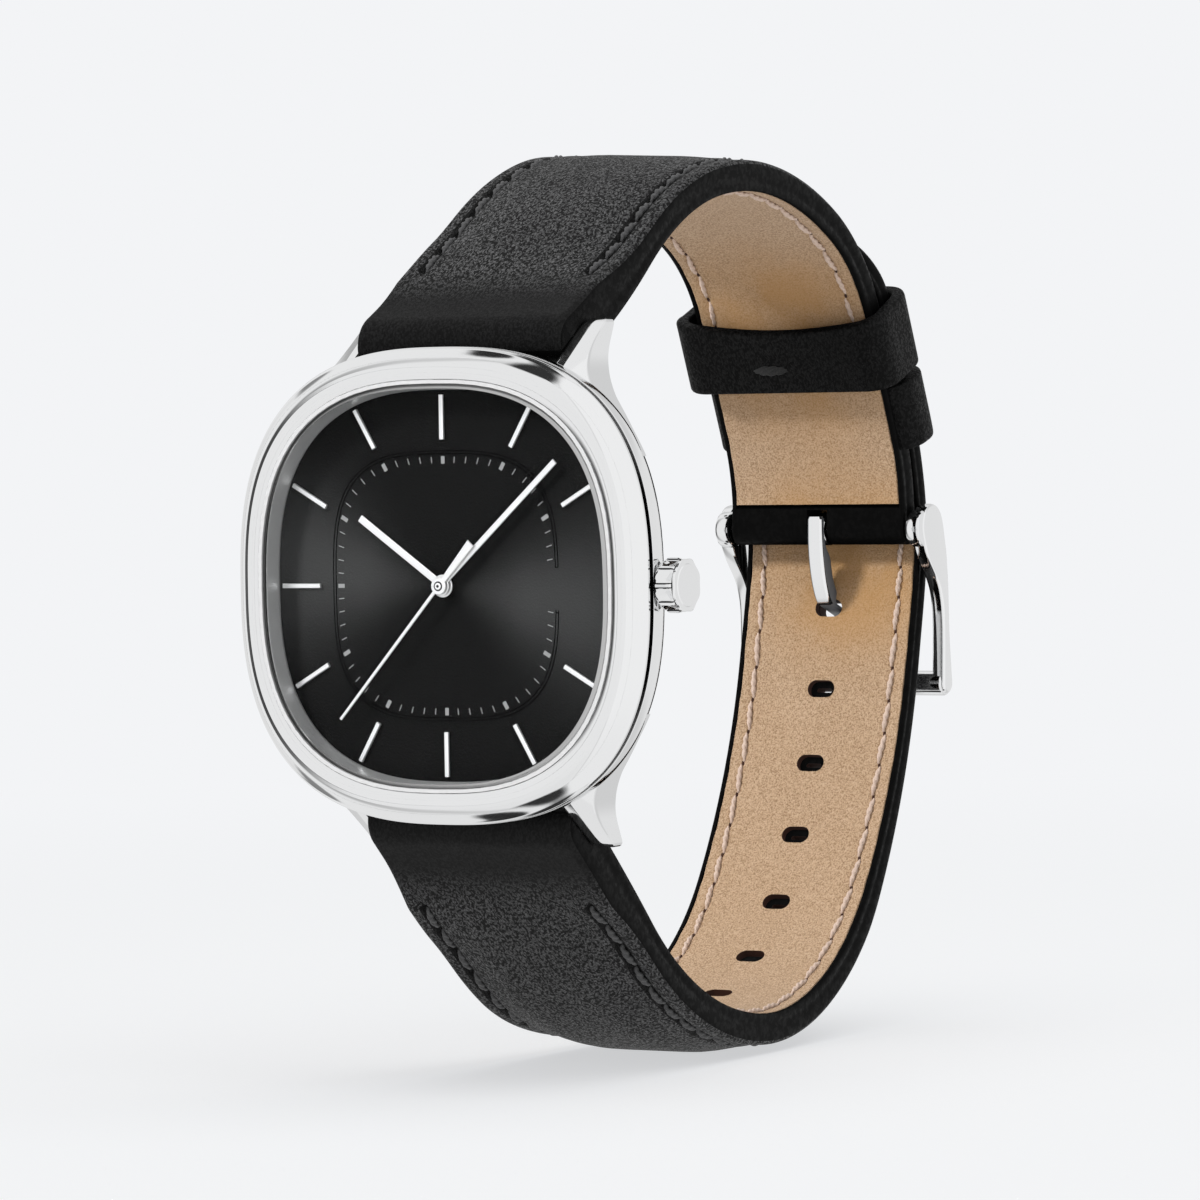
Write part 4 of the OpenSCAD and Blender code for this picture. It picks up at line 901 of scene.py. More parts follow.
class Piece:
    """A piece of strap: its path, thickness, half width, wrist side, edge thickness and length,
    and where and how much it flares out and swells (begin, full, fall, end, more)."""

    def __init__(self, path, thick, half, side, edge, length, flare, swell):
        self.path, self.thick, self.half = path, thick, half
        self.side, self.edge, self.length = side, edge, length
        self.flare, self.swell = flare, swell

    def put(self, x, s, h):
        """Points at x across, s along and h above the wrist side. Past the lugs the loop is wider
        at its left edge than at its right one, by the flare's last number."""
        x, s, h = np.broadcast_arrays(np.asarray(x, float), s, h)
        h = h + self.flare[4] * (1 - x / 9.5) / 2 * hump(s, *self.flare[:4])
        p = self.path(s.ravel()).reshape(*s.shape, 3)
        out = self.side * np.stack([-np.sin(p[..., 2]), np.cos(p[..., 2])], -1)
        yz = p[..., :2] + out * (h - self.thick(s) / 2)[..., None]
        return np.concatenate([x[..., None], yz], -1)

    def outward(self, s):
        """The direction away from the wrist at s."""
        heading = self.path(np.ravel(s))[:, 2].reshape(np.shape(s))
        return self.side * np.stack([0 * heading, -np.sin(heading), np.cos(heading)], -1)

    def inset(self, x, s):
        """Distance from the outline, measured square to it."""
        slope = (self.half(s + 0.01) - self.half(s - 0.01)) / 0.02
        return (self.half(s) - np.abs(x)) / np.sqrt(1 + slope ** 2)

    def top(self, x, s, last=None):
        """Height of the outer side: flat margins, padded between the seams, rounded off at the
        edge, sunk along the stitches up to the last, and pulled in at each needle hole."""
        t = self.thick(s) + self.swell[4] * hump(s, *self.swell[:4])
        d = self.inset(x, s)
        low = np.minimum(self.edge + 2.2 * (1 - ease(s, 1, 17)), t)
        h = low + (t - low) * ease(d, 1.6, 6.5) ** 0.8
        h = h - 0.5 * (1 - np.sqrt(1 - (1 - np.clip(d / 0.55, 0, 1)) ** 2))
        if last:
            on, hole = seam(s, last)
            sunk = np.exp(-((d - SEAM) / 0.4) ** 2) * (0.32 + 0.15 * np.exp(-(hole / 0.42) ** 2))
            h = h - on * sunk + on * 0.07 * np.exp(-((d - SEAM - 0.9) / 0.5) ** 2)
        return h


short_strap = Piece(short_path, short_thick, short_half, 1, 2.75, SHORT_LEN,
                    (2, 13, 28, 46, 1.25), (10, 30, 44, 60, 0.42))
long_strap = Piece(long_path, long_thick, long_half, -1, 2.8, LONG_LEN,
                   (2, 13, 22, 38, 1.3), (10, 30, 50, 95, 0.3))

# Strap leather
#
# Black grained calf over a soft filler, folded round the spring bars, with painted edges. The
# short piece also folds round the buckle's bar, where a slot lets the tongue through.

HINGE_Y, HINGE_Z = short_path(SHORT_LEN)[0, :2]


def grained():
    """Node group: calf grain as a height, and a slow change of tone. The height is level ground
    with short leaning dashes and thin creases pressed in, and a fine unevenness on all of it."""
    group = bpy.data.node_groups.new("calf_grain", "ShaderNodeTree")
    group.interface.new_socket("Size", in_out="INPUT", socket_type="NodeSocketFloat")
    for name in ("Height", "Tone"):
        group.interface.new_socket(name, in_out="OUTPUT", socket_type="NodeSocketFloat")
    size = group.nodes.new("NodeGroupInput").outputs["Size"]
    spot = spot_in(group)
    shift = wire(group, "TexNoise", {"Vector": spot, "Scale": 1500.0, "Detail": 2.0})
    pushed = vector(group, "MULTIPLY_ADD", shift.outputs["Color"], (0.0005,) * 3, spot)[0]
    leant = wire(group, "Mapping", {"Vector": pushed, "Rotation": (0.0, 0.35, 0.35),
                                    "Scale": (1.6, 1.0, 1.0)}).outputs[0]
    dashes = ramp(group, noise(group, leant, size, 1.0), 0.4, 0.56, 0.0, 1.0)
    coarse = math(group, "MULTIPLY", size, 0.8)
    cells = wire(group, "TexVoronoi", {"Vector": leant, "Scale": coarse},
                 feature="DISTANCE_TO_EDGE").outputs[0]
    flat = math(group, "MULTIPLY", dashes, ramp(group, cells, 0.0, 0.2, 0.4, 1.0))
    height = math(group, "MULTIPLY_ADD", noise(group, spot, 6200.0, 3.0), 0.2, flat)
    out = group.nodes.new("NodeGroupOutput")
    group.links.new(height, out.inputs["Height"])
    group.links.new(noise(group, spot, 130.0, 3.0), out.inputs["Tone"])
    return group


grain_group = grained()


def leather(name, dark, light, roughness, size, depth, specular, calm=()):
    """Leather: dark in its creases and lighter on its level ground, as painted shade and painted
    highlight of the grain, more so in some places, with grain pressed in by depth. Round each calm
    axis (y, |z|, from, to) it is smooth and dark."""
    made = finish_of(name, {"Specular IOR Level": specular})
    tree = made.node_tree
    calf = tree.nodes.new("ShaderNodeGroup")
    calf.node_tree = grain_group
    calf.inputs["Size"].default_value = size
    height = calf.outputs["Height"]
    # Colour share from the grain's height: painted shade in the creases and painted highlight on
    # the level ground, times a slow random tone
    wear_and_painted_shade = math(tree, "MULTIPLY", ramp(tree, height, 0.1, 1.15, 0.02, 1.0),
                ramp(tree, calf.outputs["Tone"], 0.3, 0.7, 0.8, 1.0))
    part = parts_of(tree, spot_in(tree))
    for y, z, near, far_off in calm:
        spot = joined(tree, 0.0, part["Y"], math(tree, "ABSOLUTE", part["Z"]))
        away = vector(tree, "DISTANCE", spot, (0, y * MM, z * MM))["Value"]
        begins, ends = near * MM, far_off * MM
        wear_and_painted_shade = math(tree, "MULTIPLY", wear_and_painted_shade, ramp(tree, away, begins, ends, 0.08, 1.0))
        height = math(tree, "MULTIPLY", height, ramp(tree, away, begins, ends, 0.05, 1.0))
    rough = ramp(tree, height, 0.2, 1.2, roughness + 0.15, roughness - 0.08, soft=False)
    return lay(made, mix(tree, wear_and_painted_shade, dark, light), rough, height, depth, 0.08)


calf = leather("black_calf", (0.001, 0.001, 0.001), (0.084, 0.084, 0.085), 0.5, 3200.0, 1.0, 0.16,
               calm=((BAR_Y, BAR_Z, 3.0, 9.0), (HINGE_Y, abs(HINGE_Z), 1.8, 3.2)))
# Dark smooth calf: the keepers' own leather, and painted shade in the valleys along the stitches
smooth_calf_and_seam_shade = leather("black_calf_smooth_and_seam_shade", (0.001, 0.001, 0.001), (0.008, 0.008, 0.008), 0.48,
                      3000.0, 0.7, 0.1)
paint = leather("edge_paint", (0.002, 0.002, 0.002), (0.003, 0.003, 0.003), 0.4, 1500.0, 0.03, 0.04)
# Dark brown: the real cut walls of the holes, and the dark ovals painted as shade in the needle
# holes
cut_edge_and_hole_shade = moulded("cut_edge_brown_and_hole_shade", (0.045, 0.018, 0.012), 0.8, 3000.0, 0.3)

# Where the columns of the outer side stand, from -1 to 1 across it, closest round the seams
insets = np.array([0.02, 0.08, 0.18, 0.3, 0.42, 0.55, 0.75, 0.95, 1.15, 1.35, 1.5, 1.62, 1.74,
                   1.85, 1.96, 2.08, 2.2, 2.35, 2.6, 2.85, 3.2, 3.7, 4.3, 5.0, 5.8, 6.6, 7.5,
                   8.4]) / 9.0
shares = np.concatenate([insets - 1, [0], 1 - insets[::-1]])


def strap_grid(piece, stations, last, bed_from, bed_to):
    """Cross-sections of a strap's leather at the stations: the outer side from edge to edge, the
    painted edge with a soft groove where leather and lining meet, the turned rim on the wrist
    side and the bed of the lining. Beyond a fold the section shrinks round the bar."""
    s = np.clip(stations, 0, piece.length)[:, None]
    w = np.maximum(piece.half(s), 0.03)
    x = w * shares
    top = piece.top(x, s, last)
    k = np.minimum(1, w / 9)
    bed = 0.72 * hump(s, bed_from, bed_from + 0.4, bed_to - 0.4, bed_to)
    right = [(w + out * k, top[:, -1:] * high) for high, out in
             ((0.93, 0.03), (0.8, 0.05), (0.62, 0.045), (0.5, 0.0), (0.44, -0.035), (0.38, -0.05),
              (0.32, -0.035), (0.25, 0.01), (0.14, 0.03), (0.06, 0.0), (0.02, -0.06),
              (0.0, -0.16))]
    right += [(w - 0.3 * k, 0 * w), (w - 0.44 * k, 0 * w + 0.03), (w - 0.47 * k, bed * 0.5 + 0.03),
              (w - 0.5 * k, bed + 0.03)]
    right_x, right_h = (np.concatenate(column, 1) for column in zip(*right))
    xs = np.concatenate([x, right_x, -right_x[:, ::-1]], 1)
    hs = np.concatenate([top, right_h, right_h[:, ::-1]], 1)
    # Round a fold the heights shrink about the middle as the section goes past the bar
    middle = piece.thick(s) / 2
    turned = np.arcsin(np.clip(np.abs(stations[:, None] - s) / middle, 0, 0.9995))
    spots = piece.put(xs, stations[:, None], middle + (hs - middle) * np.cos(turned))
    # Faces past the outer side take the edge paint, and those sunk along the stitches take the dark
    # smooth calf as painted shade in the seam's valley
    kinds = np.ones((len(stations) - 1, xs.shape[1]), int)
    d = piece.inset(x, s)
    d = (d[:-1, :-1] + d[1:, 1:]) / 2
    sunk = (np.abs(d - SEAM) < 0.55) & (s[1:] > FIRST_HOLE) & (s[:-1] < last)
    kinds[:, :len(shares) - 1] = np.where(sunk, 2, 0)
    return skin(spots, False, True, ends=True, kinds=kinds)


def cut(piece, tools):
    """Cuts tools, a list of shells, out of a piece for good."""
    last = len(piece.data.materials) - 1
    knife = solid("knife", [(p, f, [last] * len(f)) for p, f, k in tools],
                  list(piece.data.materials))
    step = piece.modifiers.new("cut", "BOOLEAN")
    step.operation, step.solver, step.object = "DIFFERENCE", "EXACT", knife
    graph = bpy.context.evaluated_depsgraph_get()
    whole = bpy.data.meshes.new_from_object(piece.evaluated_get(graph))
    piece.modifiers.clear()
    old, piece.data = piece.data, whole
    bpy.data.meshes.remove(old)
    bpy.data.objects.remove(knife)
    whole.set_sharp_from_angle(angle=np.radians(38))


def block(low, high):
    """A box between two corners."""
    (a, b, c), (d, e, f) = low, high
    ring = np.array([[a, b], [d, b], [d, e], [a, e]])
    return skin(np.stack([np.insert(ring, 2, z, axis=1) for z in (c, f)]), False, True, ends=True)


# The short piece, with the slot for the tongue
round_bar = np.sin(np.linspace(-1, 0, 10)[:-1] * np.pi / 2)
slot = block((-1.05, HINGE_Y - 3, HINGE_Z - 2.9), (1.05, HINGE_Y + 3, HINGE_Z + 1.8))
SHORT_SEWN, LONG_SEWN = 61.0, LONG_LEN - 3.0
stations = np.concatenate([2.25 * round_bar, np.arange(0, SHORT_LEN - 3, 0.36),
                           np.arange(SHORT_LEN - 3, SHORT_LEN, 0.2), [SHORT_LEN],
                           SHORT_LEN + 1.45 * np.sin(np.linspace(0, 1, 9)[1:] * np.pi / 2)])
short_grid = strap_grid(short_strap, stations, SHORT_SEWN, 5, SHORT_LEN - 2)
short_leather = solid("short_calf", [short_grid], [calf, paint, smooth_calf_and_seam_shade])
cut(short_leather, [slot])
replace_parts(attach(short_leather, "watch"), "short_leather", "short_filler")

# The long piece, with its holes
HOLE_1, HOLE_PITCH, HOLE_W, HOLE_LEN = LONG_ARCS_LEN + 4, 7.3, 2.75, 1.6
hole_at = HOLE_1 - HOLE_PITCH * np.arange(7)
tip = LONG_LEN - 8 * (1 - np.sin(np.linspace(0, 1, 40) * np.pi / 2))
stations = np.concatenate([2.05 * round_bar, np.arange(0, LONG_LEN - 8, 0.36), tip])
long_grid = strap_grid(long_strap, stations, LONG_SEWN, 5, LONG_LEN - 0.8)
long_leather = solid("long_calf", [long_grid], [calf, paint, smooth_calf_and_seam_shade, cut_edge_and_hole_shade])


def hole_tool(s, grow=0.0):
    """A rounded oval bar through the long piece at s."""
    a = np.linspace(0, 2 * np.pi, 32, endpoint=False)
    r = HOLE_LEN / 2 + grow
    x = r * np.cos(a) + np.sign(np.cos(a).round(6)) * (HOLE_W - HOLE_LEN) / 2
    y, z, heading = long_path(s)[0]
    flat = [y, z] + np.outer(r * np.sin(a), direction(heading))
    rows = [np.insert(flat + h * direction(heading - np.pi / 2), 0, x, axis=1)
            for h in (-2.6, 0, 2.6)]
    return skin(np.stack(rows), False, True, ends=True)


# The calf's holes have closed to slits, but for the one that holds the tongue
cut(long_leather, [hole_tool(s, 0.0 if s == HOLE_1 else -0.6) for s in hole_at])
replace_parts(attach(long_leather, "watch"), "long_leather", "long_filler")

# Lining
#
# Tan nubuck glued in under the calf and sewn through with it. It has dark pores, and warm painted
# shade under the keepers and where the strap bends round the buckle's bar.

KEEPER_SPOT = tuple(short_strap.put(0.0, np.array([65.5]), 0.0)[0] * MM)
HINGE_SPOT = (0.002, HINGE_Y * MM, (HINGE_Z - 3) * MM)


def nubuck():
    """Suede-like skin: two tans mixed by noise, dark pores, a lighter nap, and two orange-brown
    patches of painted shade, at the buckle's hinge and at the keepers, that fade out over 10 to 12
    mm."""
    made = finish_of("tan_nubuck", {"Specular IOR Level": 0.2, "Sheen Weight": 0.12,
                                    "Sheen Roughness": 0.6})
    tree = made.node_tree
    spot = spot_in(tree)
    cloud = noise(tree, spot, 170.0, 5.0)
    speck = noise(tree, spot, 6400.0, 3.0, 0.7)
    colour = mix(tree, cloud, (0.44, 0.293, 0.173), (0.525, 0.366, 0.235))
    colour = mix(tree, ramp(tree, speck, 0.36, 0.54, 0.75, 0.0), colour, (0.2, 0.115, 0.055))
    colour = mix(tree, ramp(tree, speck, 0.48, 0.66, 0.0, 0.5), colour, (0.62, 0.46, 0.33))
    # Warm orange-brown painted shade at the buckle's hinge and under the keepers
    for middle, wide, share in ((HINGE_SPOT, 0.013, 0.75), (KEEPER_SPOT, 0.0145, 0.8)):
        away = vector(tree, "DISTANCE", spot, middle)["Value"]
        warm_painted_shade = math(tree, "MULTIPLY", ramp(tree, away, 0.003, wide, share, 0.0),
                     ramp(tree, cloud, 0.35, 0.6, 0.5, 1.0))
        colour = mix(tree, warm_painted_shade, colour, (0.42, 0.225, 0.075))
    rough = ramp(tree, speck, 0.3, 0.7, 0.95, 0.8, soft=False)
    return lay(made, colour, rough, speck, 0.9, 0.12)


tan = nubuck()
LINING_FROM = 5.2
part = np.array([0.0, 0.008, 0.025, 0.06, 0.1, 0.125, 0.14, 0.153, 0.166, 0.18, 0.2, 0.24, 0.3,
                 0.42, 0.6, 0.8])
lining_shares = np.concatenate([part - 1, [0], 1 - part[::-1]])


def lining(name, piece, stations, last):
    """A lining: its wrist side lies level with the strap's rim, sinks along the stitches and at
    each needle hole, and its rims are turned in a little."""
    s = stations[:, None]
    # Cut by hand, so its rim isn't quite even
    uneven = 0.035 * np.sin(0.9 * s) * np.sin(0.37 * s + 1) + 0.02 * np.sin(2.3 * s + 2)
    half = piece.half(s)
    w = np.maximum(half - (0.5 + uneven) * np.minimum(1, half / 9), 0.02)
    x = w * lining_shares
    d = piece.inset(x, s)
    on, hole = seam(s, last)
    sunk = np.exp(-((d - SEAM) / 0.3) ** 2) * (0.08 + 0.12 * np.exp(-(hole / 0.4) ** 2))
    sunk = 0.02 + on * sunk - 0.05 * (1 - np.exp(-np.maximum(d - 0.5, 0) / 0.3))
    sunk[:, [0, -1]] = 0.09
    glued = np.broadcast_to([0.4, 0.7, 0.7, 0.4], (len(s), 4))
    spots = piece.put(np.concatenate([x, w, w, -w, -w], 1), s, np.concatenate([sunk, glued], 1))
    made = solid(name, [skin(spots, False, True, ends=True)], [tan, cut_edge_and_hole_shade])
    made.visible_glossy = False
    return made


SHORT_LAST, LONG_LAST = 66.0, LONG_LEN - 10.5
short_lining = lining("short_nubuck", short_strap, np.arange(LINING_FROM, SHORT_LEN - 2.1, 0.4),
                      SHORT_LAST)
cut(short_lining, [slot])
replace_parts(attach(short_lining, "watch"), "short_lining")
tip = LONG_LEN - 0.9 - 7.1 * (1 - np.sin(np.linspace(0, 1, 20) * np.pi / 2))
stations = np.concatenate([np.arange(LINING_FROM, LONG_LEN - 8, 0.4), tip])
long_lining = lining("long_nubuck", long_strap, stations, LONG_SEWN)
cut(long_lining, [hole_tool(s, 0.02) for s in hole_at])
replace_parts(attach(long_lining, "watch"), "long_lining")

# Stitches
#
# Two-ply thread, black on the calf and rosy beige on the lining, 1.85 mm in from the edges. Each
# stitch rises from one needle hole and dips into the next.

STITCH, SLANT, PLY_TURNS = 2.85, 0.25, 3.5


def thread(name, dark, light):
    """Waxed thread: fibres as fine noise in colour and height."""
    made = finish_of(name, {"Roughness": 0.5, "Sheen Weight": 0.05, "Specular IOR Level": 0.3})
    tree = made.node_tree
    fibre = noise(tree, spot_in(tree), 7000.0, 3.0)
    return lay(made, mix(tree, fibre, dark, light), height=fibre, strength=0.4, deep=0.08)


black_thread = thread("black_thread", (0.006, 0.006, 0.006), (0.1, 0.1, 0.102))
join_thread = thread("join_thread", (0.001, 0.001, 0.001), (0.022, 0.022, 0.022))
beige_thread = thread("beige_thread", (0.45, 0.32, 0.25), (0.78, 0.63, 0.53))


def holes_to(last):
    """The lengths along the strap of the needle holes up to the last."""
    return FIRST_HOLE + PITCH * np.arange(int((last - FIRST_HOLE) / PITCH) + 1)


def stitches(piece, last, thick, wrist, pressed=None):
    """Stitches along both edges: each is a short twisted thread that rises from one needle hole
    and dips to the next, a little aslant. Its radius is that of two plies turning round. On the
    wrist side they can be pressed flat from a length on."""
    t = np.linspace(0, 1, 21)
    a = np.linspace(0, 2 * np.pi, 14, endpoint=False)
    s = holes_to(last)[:-1, None] + (PITCH - STITCH) / 2 + STITCH * t
    arch = np.sin(np.pi * t) ** 0.5
    shells = []
    for side in (-1, 1):
        x = side * (piece.half(s) - SEAM) + side * SLANT * (t - 0.5)
        if wrist:
            h = 0.12 - (0.1 + thick * 0.3) * arch
            h = h + 0.16 * ease(s, pressed, pressed + 4) if pressed else h
        else:
            h = piece.top(x, s) - 0.5 + 0.36 * arch
        middle = piece.put(x, s, h)
        out = piece.outward(s) * (-1 if wrist else 1)
        wide = np.cross(unit(np.gradient(middle, axis=1)), out)
        size = thick / 2 * (0.4 + 0.6 * np.sin(np.pi * np.clip(t, 0.04, 0.96)) ** 0.5)
        ply = 0.5 + 0.5 * np.abs(np.cos(a - PLY_TURNS * np.pi * t[:, None]))
        r = size[:, None] * ply
        rings = (middle[:, :, None] + wide[:, :, None] * (r * np.cos(a))[..., None]
                 + out[:, :, None] * (r * np.sin(a))[..., None])
        shells += [skin(one, False, True, ends=True) for one in rings]
    return shells


def needle_hole_shade(piece, last):
    """Small dark ovals where the thread goes into the lining, level with its sunk seam: painted
    shade of the needle holes.
    """
    s = np.tile(holes_to(last), 2)[:, None]
    side = np.repeat([-1.0, 1.0], len(s) // 2)[:, None]
    a = np.linspace(0, 2 * np.pi, 12, endpoint=False)
    x, y = side * (piece.half(s) - SEAM), 0.22 * np.sin(a)
    rings = [piece.put(x + k * 0.12 * np.cos(a), s + k * y, h)
             for k, h in ((0.4, 0.1), (1.0, 0.05), (1.0, 0.25))]
    return [skin(one, False, True, ends=True) for one in np.stack(rings, 1)]


def sew(name, shells, finish):
    """Puts stitches on the watch as one piece."""
    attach(solid(name, shells, [finish], smooth=80), "watch")


sew("short_stitches", stitches(short_strap, 61.5, 0.72, False), black_thread)
sew("long_stitches", stitches(long_strap, LONG_LAST, 0.72, False), black_thread)
sew("short_lining_stitches", stitches(short_strap, SHORT_LAST, 0.52, True, pressed=57.0),
    beige_thread)
sew("long_lining_stitches", stitches(long_strap, LONG_LAST, 0.52, True), beige_thread)
sew("needle_hole_shade", needle_hole_shade(short_strap, SHORT_LAST) + needle_hole_shade(long_strap, LONG_LAST),
    cut_edge_and_hole_shade)

# Keepers
#
# Two loops of black calf. The free one is joined by a small sewn oval on the wrist side and
# slides; the fixed one has its thinned ends sewn in under the lining.

LOOP_HALF, LOOP_THICK, LOOP_EDGE = 9.4, 1.2, 0.42
LOOP_OUT = HALF_SHORT + GAP + 2 * HALF_LONG + 0.4


def off_middle(x, s, h):
    """Points at x across, s along and h outwards from the short piece's middle line."""
    x, s, h = np.broadcast_arrays(x, s, h)
    p = short_path(s.ravel()).reshape(*s.shape, 3)
    return np.stack([x, p[..., 0] - h * np.sin(p[..., 2]), p[..., 1] + h * np.cos(p[..., 2])], -1)


def keeper(name, s0, wide, low_in, bulge=0.0, arch=0.0, skived=False):
    """A closed loop of leather round the strap: a rounded rectangle across it, carried along the
    strap's path as a band with rounded edges. The ends of a skived one are thinned where they
    lie in the strap."""
    corner = min(1.5, (LOOP_OUT - low_in) / 2)
    loop = finely(rounded([[-LOOP_HALF - bulge, low_in, corner], [LOOP_HALF, low_in, corner],
                           [LOOP_HALF, LOOP_OUT, corner], [-LOOP_HALF, LOOP_OUT, corner]], 12), 0.5)
    way = unit(np.roll(loop, -1, 0) - np.roll(loop, 1, 0))
    half = wide / 2
    q = finely(rounded([[-half, 0, LOOP_EDGE * 0.6], [half, 0, LOOP_EDGE * 0.6],
                        [half, LOOP_THICK, LOOP_EDGE], [-half, LOOP_THICK, LOOP_EDGE]]), 0.4)
    on = np.clip((loop[:, 1:] - low_in) / 1.6, 0, 1) if skived else 1
    lift = q[:, 1] * (0.4 + 0.6 * on)
    x, h = loop[:, :1] + way[:, 1:] * lift, loop[:, 1:] - way[:, :1] * lift
    wrist = np.clip((-loop[:, 1:] - 0.5) / 1.5, 0, 1)
    along = q[:, 0] + arch * np.maximum(-q[:, 0], 0) / wide * (1 - (x / LOOP_HALF) ** 2) * wrist
    spots = off_middle(x, s0 + half + along, h)
    return solid(name, [skin(spots, True, True)], [smooth_calf_and_seam_shade], smooth=60)


free_keeper = keeper("free_loop", 63.7, 7.0, -2.0, bulge=0.6, arch=2.0)
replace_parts(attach(free_keeper, "sliding_keeper"), "free_keeper")
fixed_keeper = keeper("fixed_loop", 71.3, 6.4, -0.32, skived=True)
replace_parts(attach(fixed_keeper, "watch"), "fixed_keeper")

# The oval join: a short bar of thread laid over the loop's joined ends
JOIN_AT, JOIN_OUT = 68.3, -3.2
t = np.linspace(0, 1, 40)
a = np.linspace(0, 2 * np.pi, 40, endpoint=False)
heading = short_path(JOIN_AT)[0, 2]
centre = off_middle(-3.3 + 4.0 * t, JOIN_AT, JOIN_OUT - 0.16 * np.sin(np.pi * t) + 0.1)
r = np.sin(np.pi * np.clip(t, 0.03, 0.97))[:, None] ** 0.6 * (
    0.8 + 0.2 * np.cos(5 * a - 26 * t[:, None]))
rings = (centre[:, None] + np.insert(direction(heading), 0, 0) * (0.52 * r * np.cos(a))[..., None]
         + np.insert(direction(heading - np.pi / 2), 0, 0) * (0.24 * r * np.sin(a))[..., None])
mark = solid("free_loop_join", [skin(rings, False, True, ends=True)], [join_thread], smooth=80)
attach(mark, "sliding_keeper")

# Buckle
#
# A polished steel pin buckle: two leaf-shaped side plates on a hinge bar, arms that narrow to a
# round front bar, and a tongue that goes through the strap's first hole and rests on that bar.

TONGUE_HALF, BAR_R, BAR_GAP = 0.4, 1.15, 0.02
TONGUE_ARCS = ((2.5, 0), (1.6, -54), (5.0, 0), (1.4, -12))
hole = long_path(HOLE_1)[0]
# Down from the ring, in a curve to the hole, through it and round its edge
top = np.array([HINGE_Y - 1.55, HINGE_Z + 0.95])
bend = np.array([top[0], HINGE_Z - 0.75])
lean = hole[2] - np.radians(98)
into = hole[:2] - 1.15 * direction(lean)
entry = (*into, np.degrees(lean))
tail = along_arcs(entry, TONGUE_ARCS,
                  np.concatenate([np.linspace(0.2, 2.5, 6), np.linspace(2.7, 4.1, 8),
                                  np.linspace(4.4, 9.1, 10), np.linspace(9.3, 10.5, 6)]))
curve = cubic(bend, bend - [0, 3.2], into - 1.3 * direction(lean), into,
              np.linspace(0, 1, 28)[:, None])
line = np.concatenate([[top + [0, 0.25], top], curve, tail[:, :2]])
way = unit(np.gradient(line, axis=0))
left = np.stack([-way[:, 1], way[:, 0]], -1)
# A round wire with a flat filed on the side towards the wrist; it thins where it enters the hole
step = np.concatenate([[0, 0.2], np.arange(1, 29), np.full(len(tail), 30)])
deep = 0.4 + 1.25 * hump(step, 1, 8, 23, 29.8)
flat_end = ease(step, 23, 25.5)[:, None]
turned = np.linspace(0.12, np.pi - 0.12, 13)
body_x = 0.8 * np.sign(np.cos(turned).round(6)) * np.abs(np.cos(turned)) ** 0.45
front = np.array([[-0.78, -0.1], [-0.72, -0.24], [-0.56, -0.4], [0.56, -0.4], [0.72, -0.24],
                  [0.78, -0.1]])
grow = np.ones((len(line), 1))
grow[:2, 0] = [0.8, 0.97]
grow[-4:, 0] = [0.97, 0.9, 0.75, 0.45]
wire_x = np.append(front[:, 0], body_x) * grow
wire_h = np.concatenate([front[:, 1] * (1 - 0.75 * flat_end),
                         np.sin(turned) ** 0.6 * deep[:, None]], 1) * grow
# Only the filed flat is polished: the round body, the thinned end and the ring take a dark grey
# steel as painted shade on the tongue's sides
kinds = np.where(flat_end[:-1] > 0.02, 1, [1, 1, 0, 0, 0, 1] + [1] * 13)
rows = np.concatenate([wire_x[..., None], line[:, None] + left[:, None] * wire_h[..., None]], -1)
turned = np.linspace(0, 2 * np.pi, 48, endpoint=False)[:, None]
section = rounded([[-0.8, 1.5, 0.12], [0.8, 1.5, 0.12], [0.8, 0.65, 0.05], [-0.8, 0.65, 0.05]], 4)
ring_x, ring_r = section.T
ring = np.stack([ring_x + 0 * turned, HINGE_Y + ring_r * np.cos(turned),
                 HINGE_Z + ring_r * np.sin(turned)], -1)
tongue_shade_steel = metal("steel_painted_shade", (0.2, 0.21, 0.225), 0.4, 2400.0, depth=0.08, metallic=0.35)
tongue = solid("tongue_steel", [skin(rows, False, True, ends=True, kinds=kinds),
                                skin(ring, True, True)], [polished, tongue_shade_steel], smooth=24)
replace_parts(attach(tongue, "tongue"), "buckle_tongue")

# The front bar lies under the tongue where its third arc ends
y, z, heading = along_arcs(entry, TONGUE_ARCS, np.array([9.1]))[0]
front_bar = [y, z] + (TONGUE_HALF + BAR_GAP + BAR_R) * direction(heading - np.pi / 2)


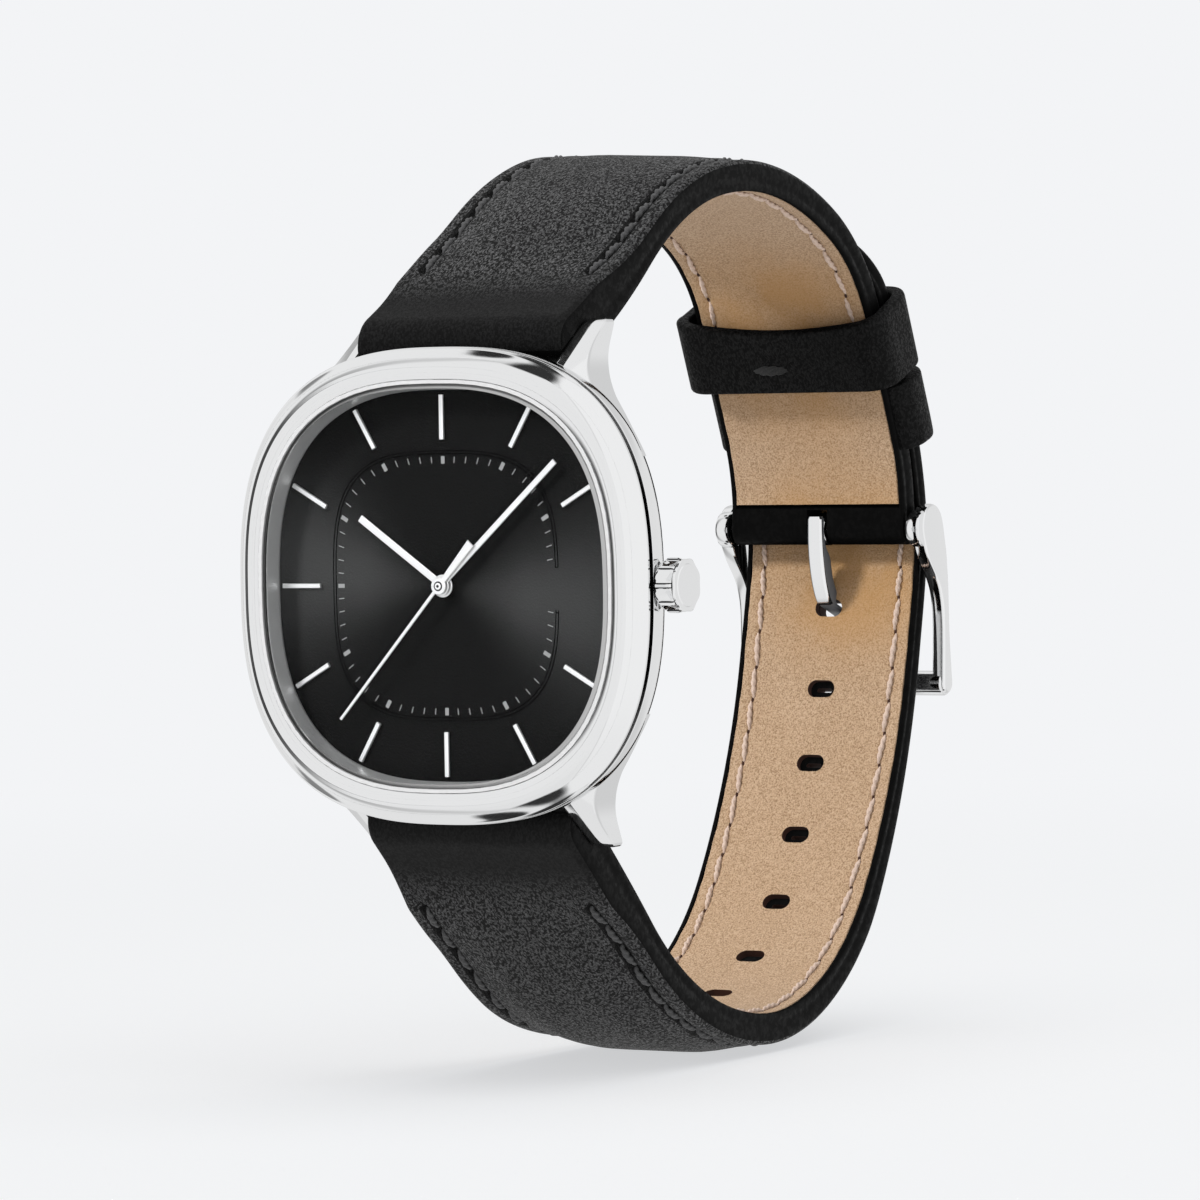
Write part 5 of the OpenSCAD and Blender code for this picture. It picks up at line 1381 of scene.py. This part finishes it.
def plate(outline, levels):
    """A plate that stands across X: its outline (y, z) is set in by a distance at each level."""
    way = unit(np.roll(outline, -1, 0) - np.roll(outline, 1, 0))
    (y, z), (next_y, next_z) = outline.T, np.roll(outline, -1, 0).T
    inward = np.stack([-way[:, 1], way[:, 0]], -1) * np.sign((y * next_z - z * next_y).sum())
    rows = [np.insert(outline + inward * d, 0, x, axis=1) for x, d in levels]
    return skin(np.stack(rows), False, True, ends=True)


def between(values, count):
    """A row of values filled up in straight steps to a count, and evened out."""
    at = np.linspace(0, len(values) - 1, count)
    return smoothed(np.interp(at, np.arange(len(values)), values), 14)


# An arm's middle line from the leaf to the front bar, and half its breadth
arm = np.array([[0, 0, 0.95], [0.45, -1.4, 0.93], [1.15, -2.8, 0.78], [1.7, -4.05, 0.58],
                [2.2, -5.5, 0.4], [2.5, -7.4, 0.28], [2.55, -10.2, 0.28]])
leaf = [HINGE_Y + 1.28, HINGE_Z + 0.15]
spine = np.concatenate([leaf + arm[:, :2], [front_bar]])
spine = np.stack([between(spine[:, 0], 60), between(spine[:, 1], 60)], -1)
halves = between(np.append(arm[:, 2] * 2.25, 0.95), 60)
way = unit(np.gradient(spine, axis=0))
normal = np.stack([-way[:, 1], way[:, 0]], -1) * halves[:, None]


def arc_round(centre, first):
    """Half a circle round a centre, clockwise from the offset first to its opposite."""
    a = np.linspace(0, np.pi, 26)[1:-1, None]
    return centre + first * np.cos(a) + np.array([first[1], -first[0]]) * np.sin(a)


outline = np.concatenate([spine + normal, arc_round(spine[-1], normal[-1]), (spine - normal)[::-1],
                          arc_round(spine[0], -normal[0])])
ARM_IN, ARM_OUT = 9.5, 10.8
shells = []
for sx in (1, -1):
    shells.append(plate(outline, [(sx * x, d) for x, d in
                                  ((ARM_IN, 0.22), (ARM_IN + 0.06, 0.09), (ARM_IN + 0.2, 0.0),
                                   (ARM_OUT - 0.32, 0.0), (ARM_OUT - 0.12, 0.07),
                                   (ARM_OUT - 0.03, 0.2), (ARM_OUT, 0.36))]))
    a, b = sorted([sx * 9.3, sx * 10.7])
    shells.append(rod(1.7, a, b, HINGE_Y, HINGE_Z, 0.3))
shells.append(rod(BAR_R, -ARM_OUT + 0.3, ARM_OUT - 0.3, *front_bar, 0.2))
buckle = solid("buckle_steel", shells, [polished], smooth=30)
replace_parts(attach(buckle, "buckle"), "buckle_frame")
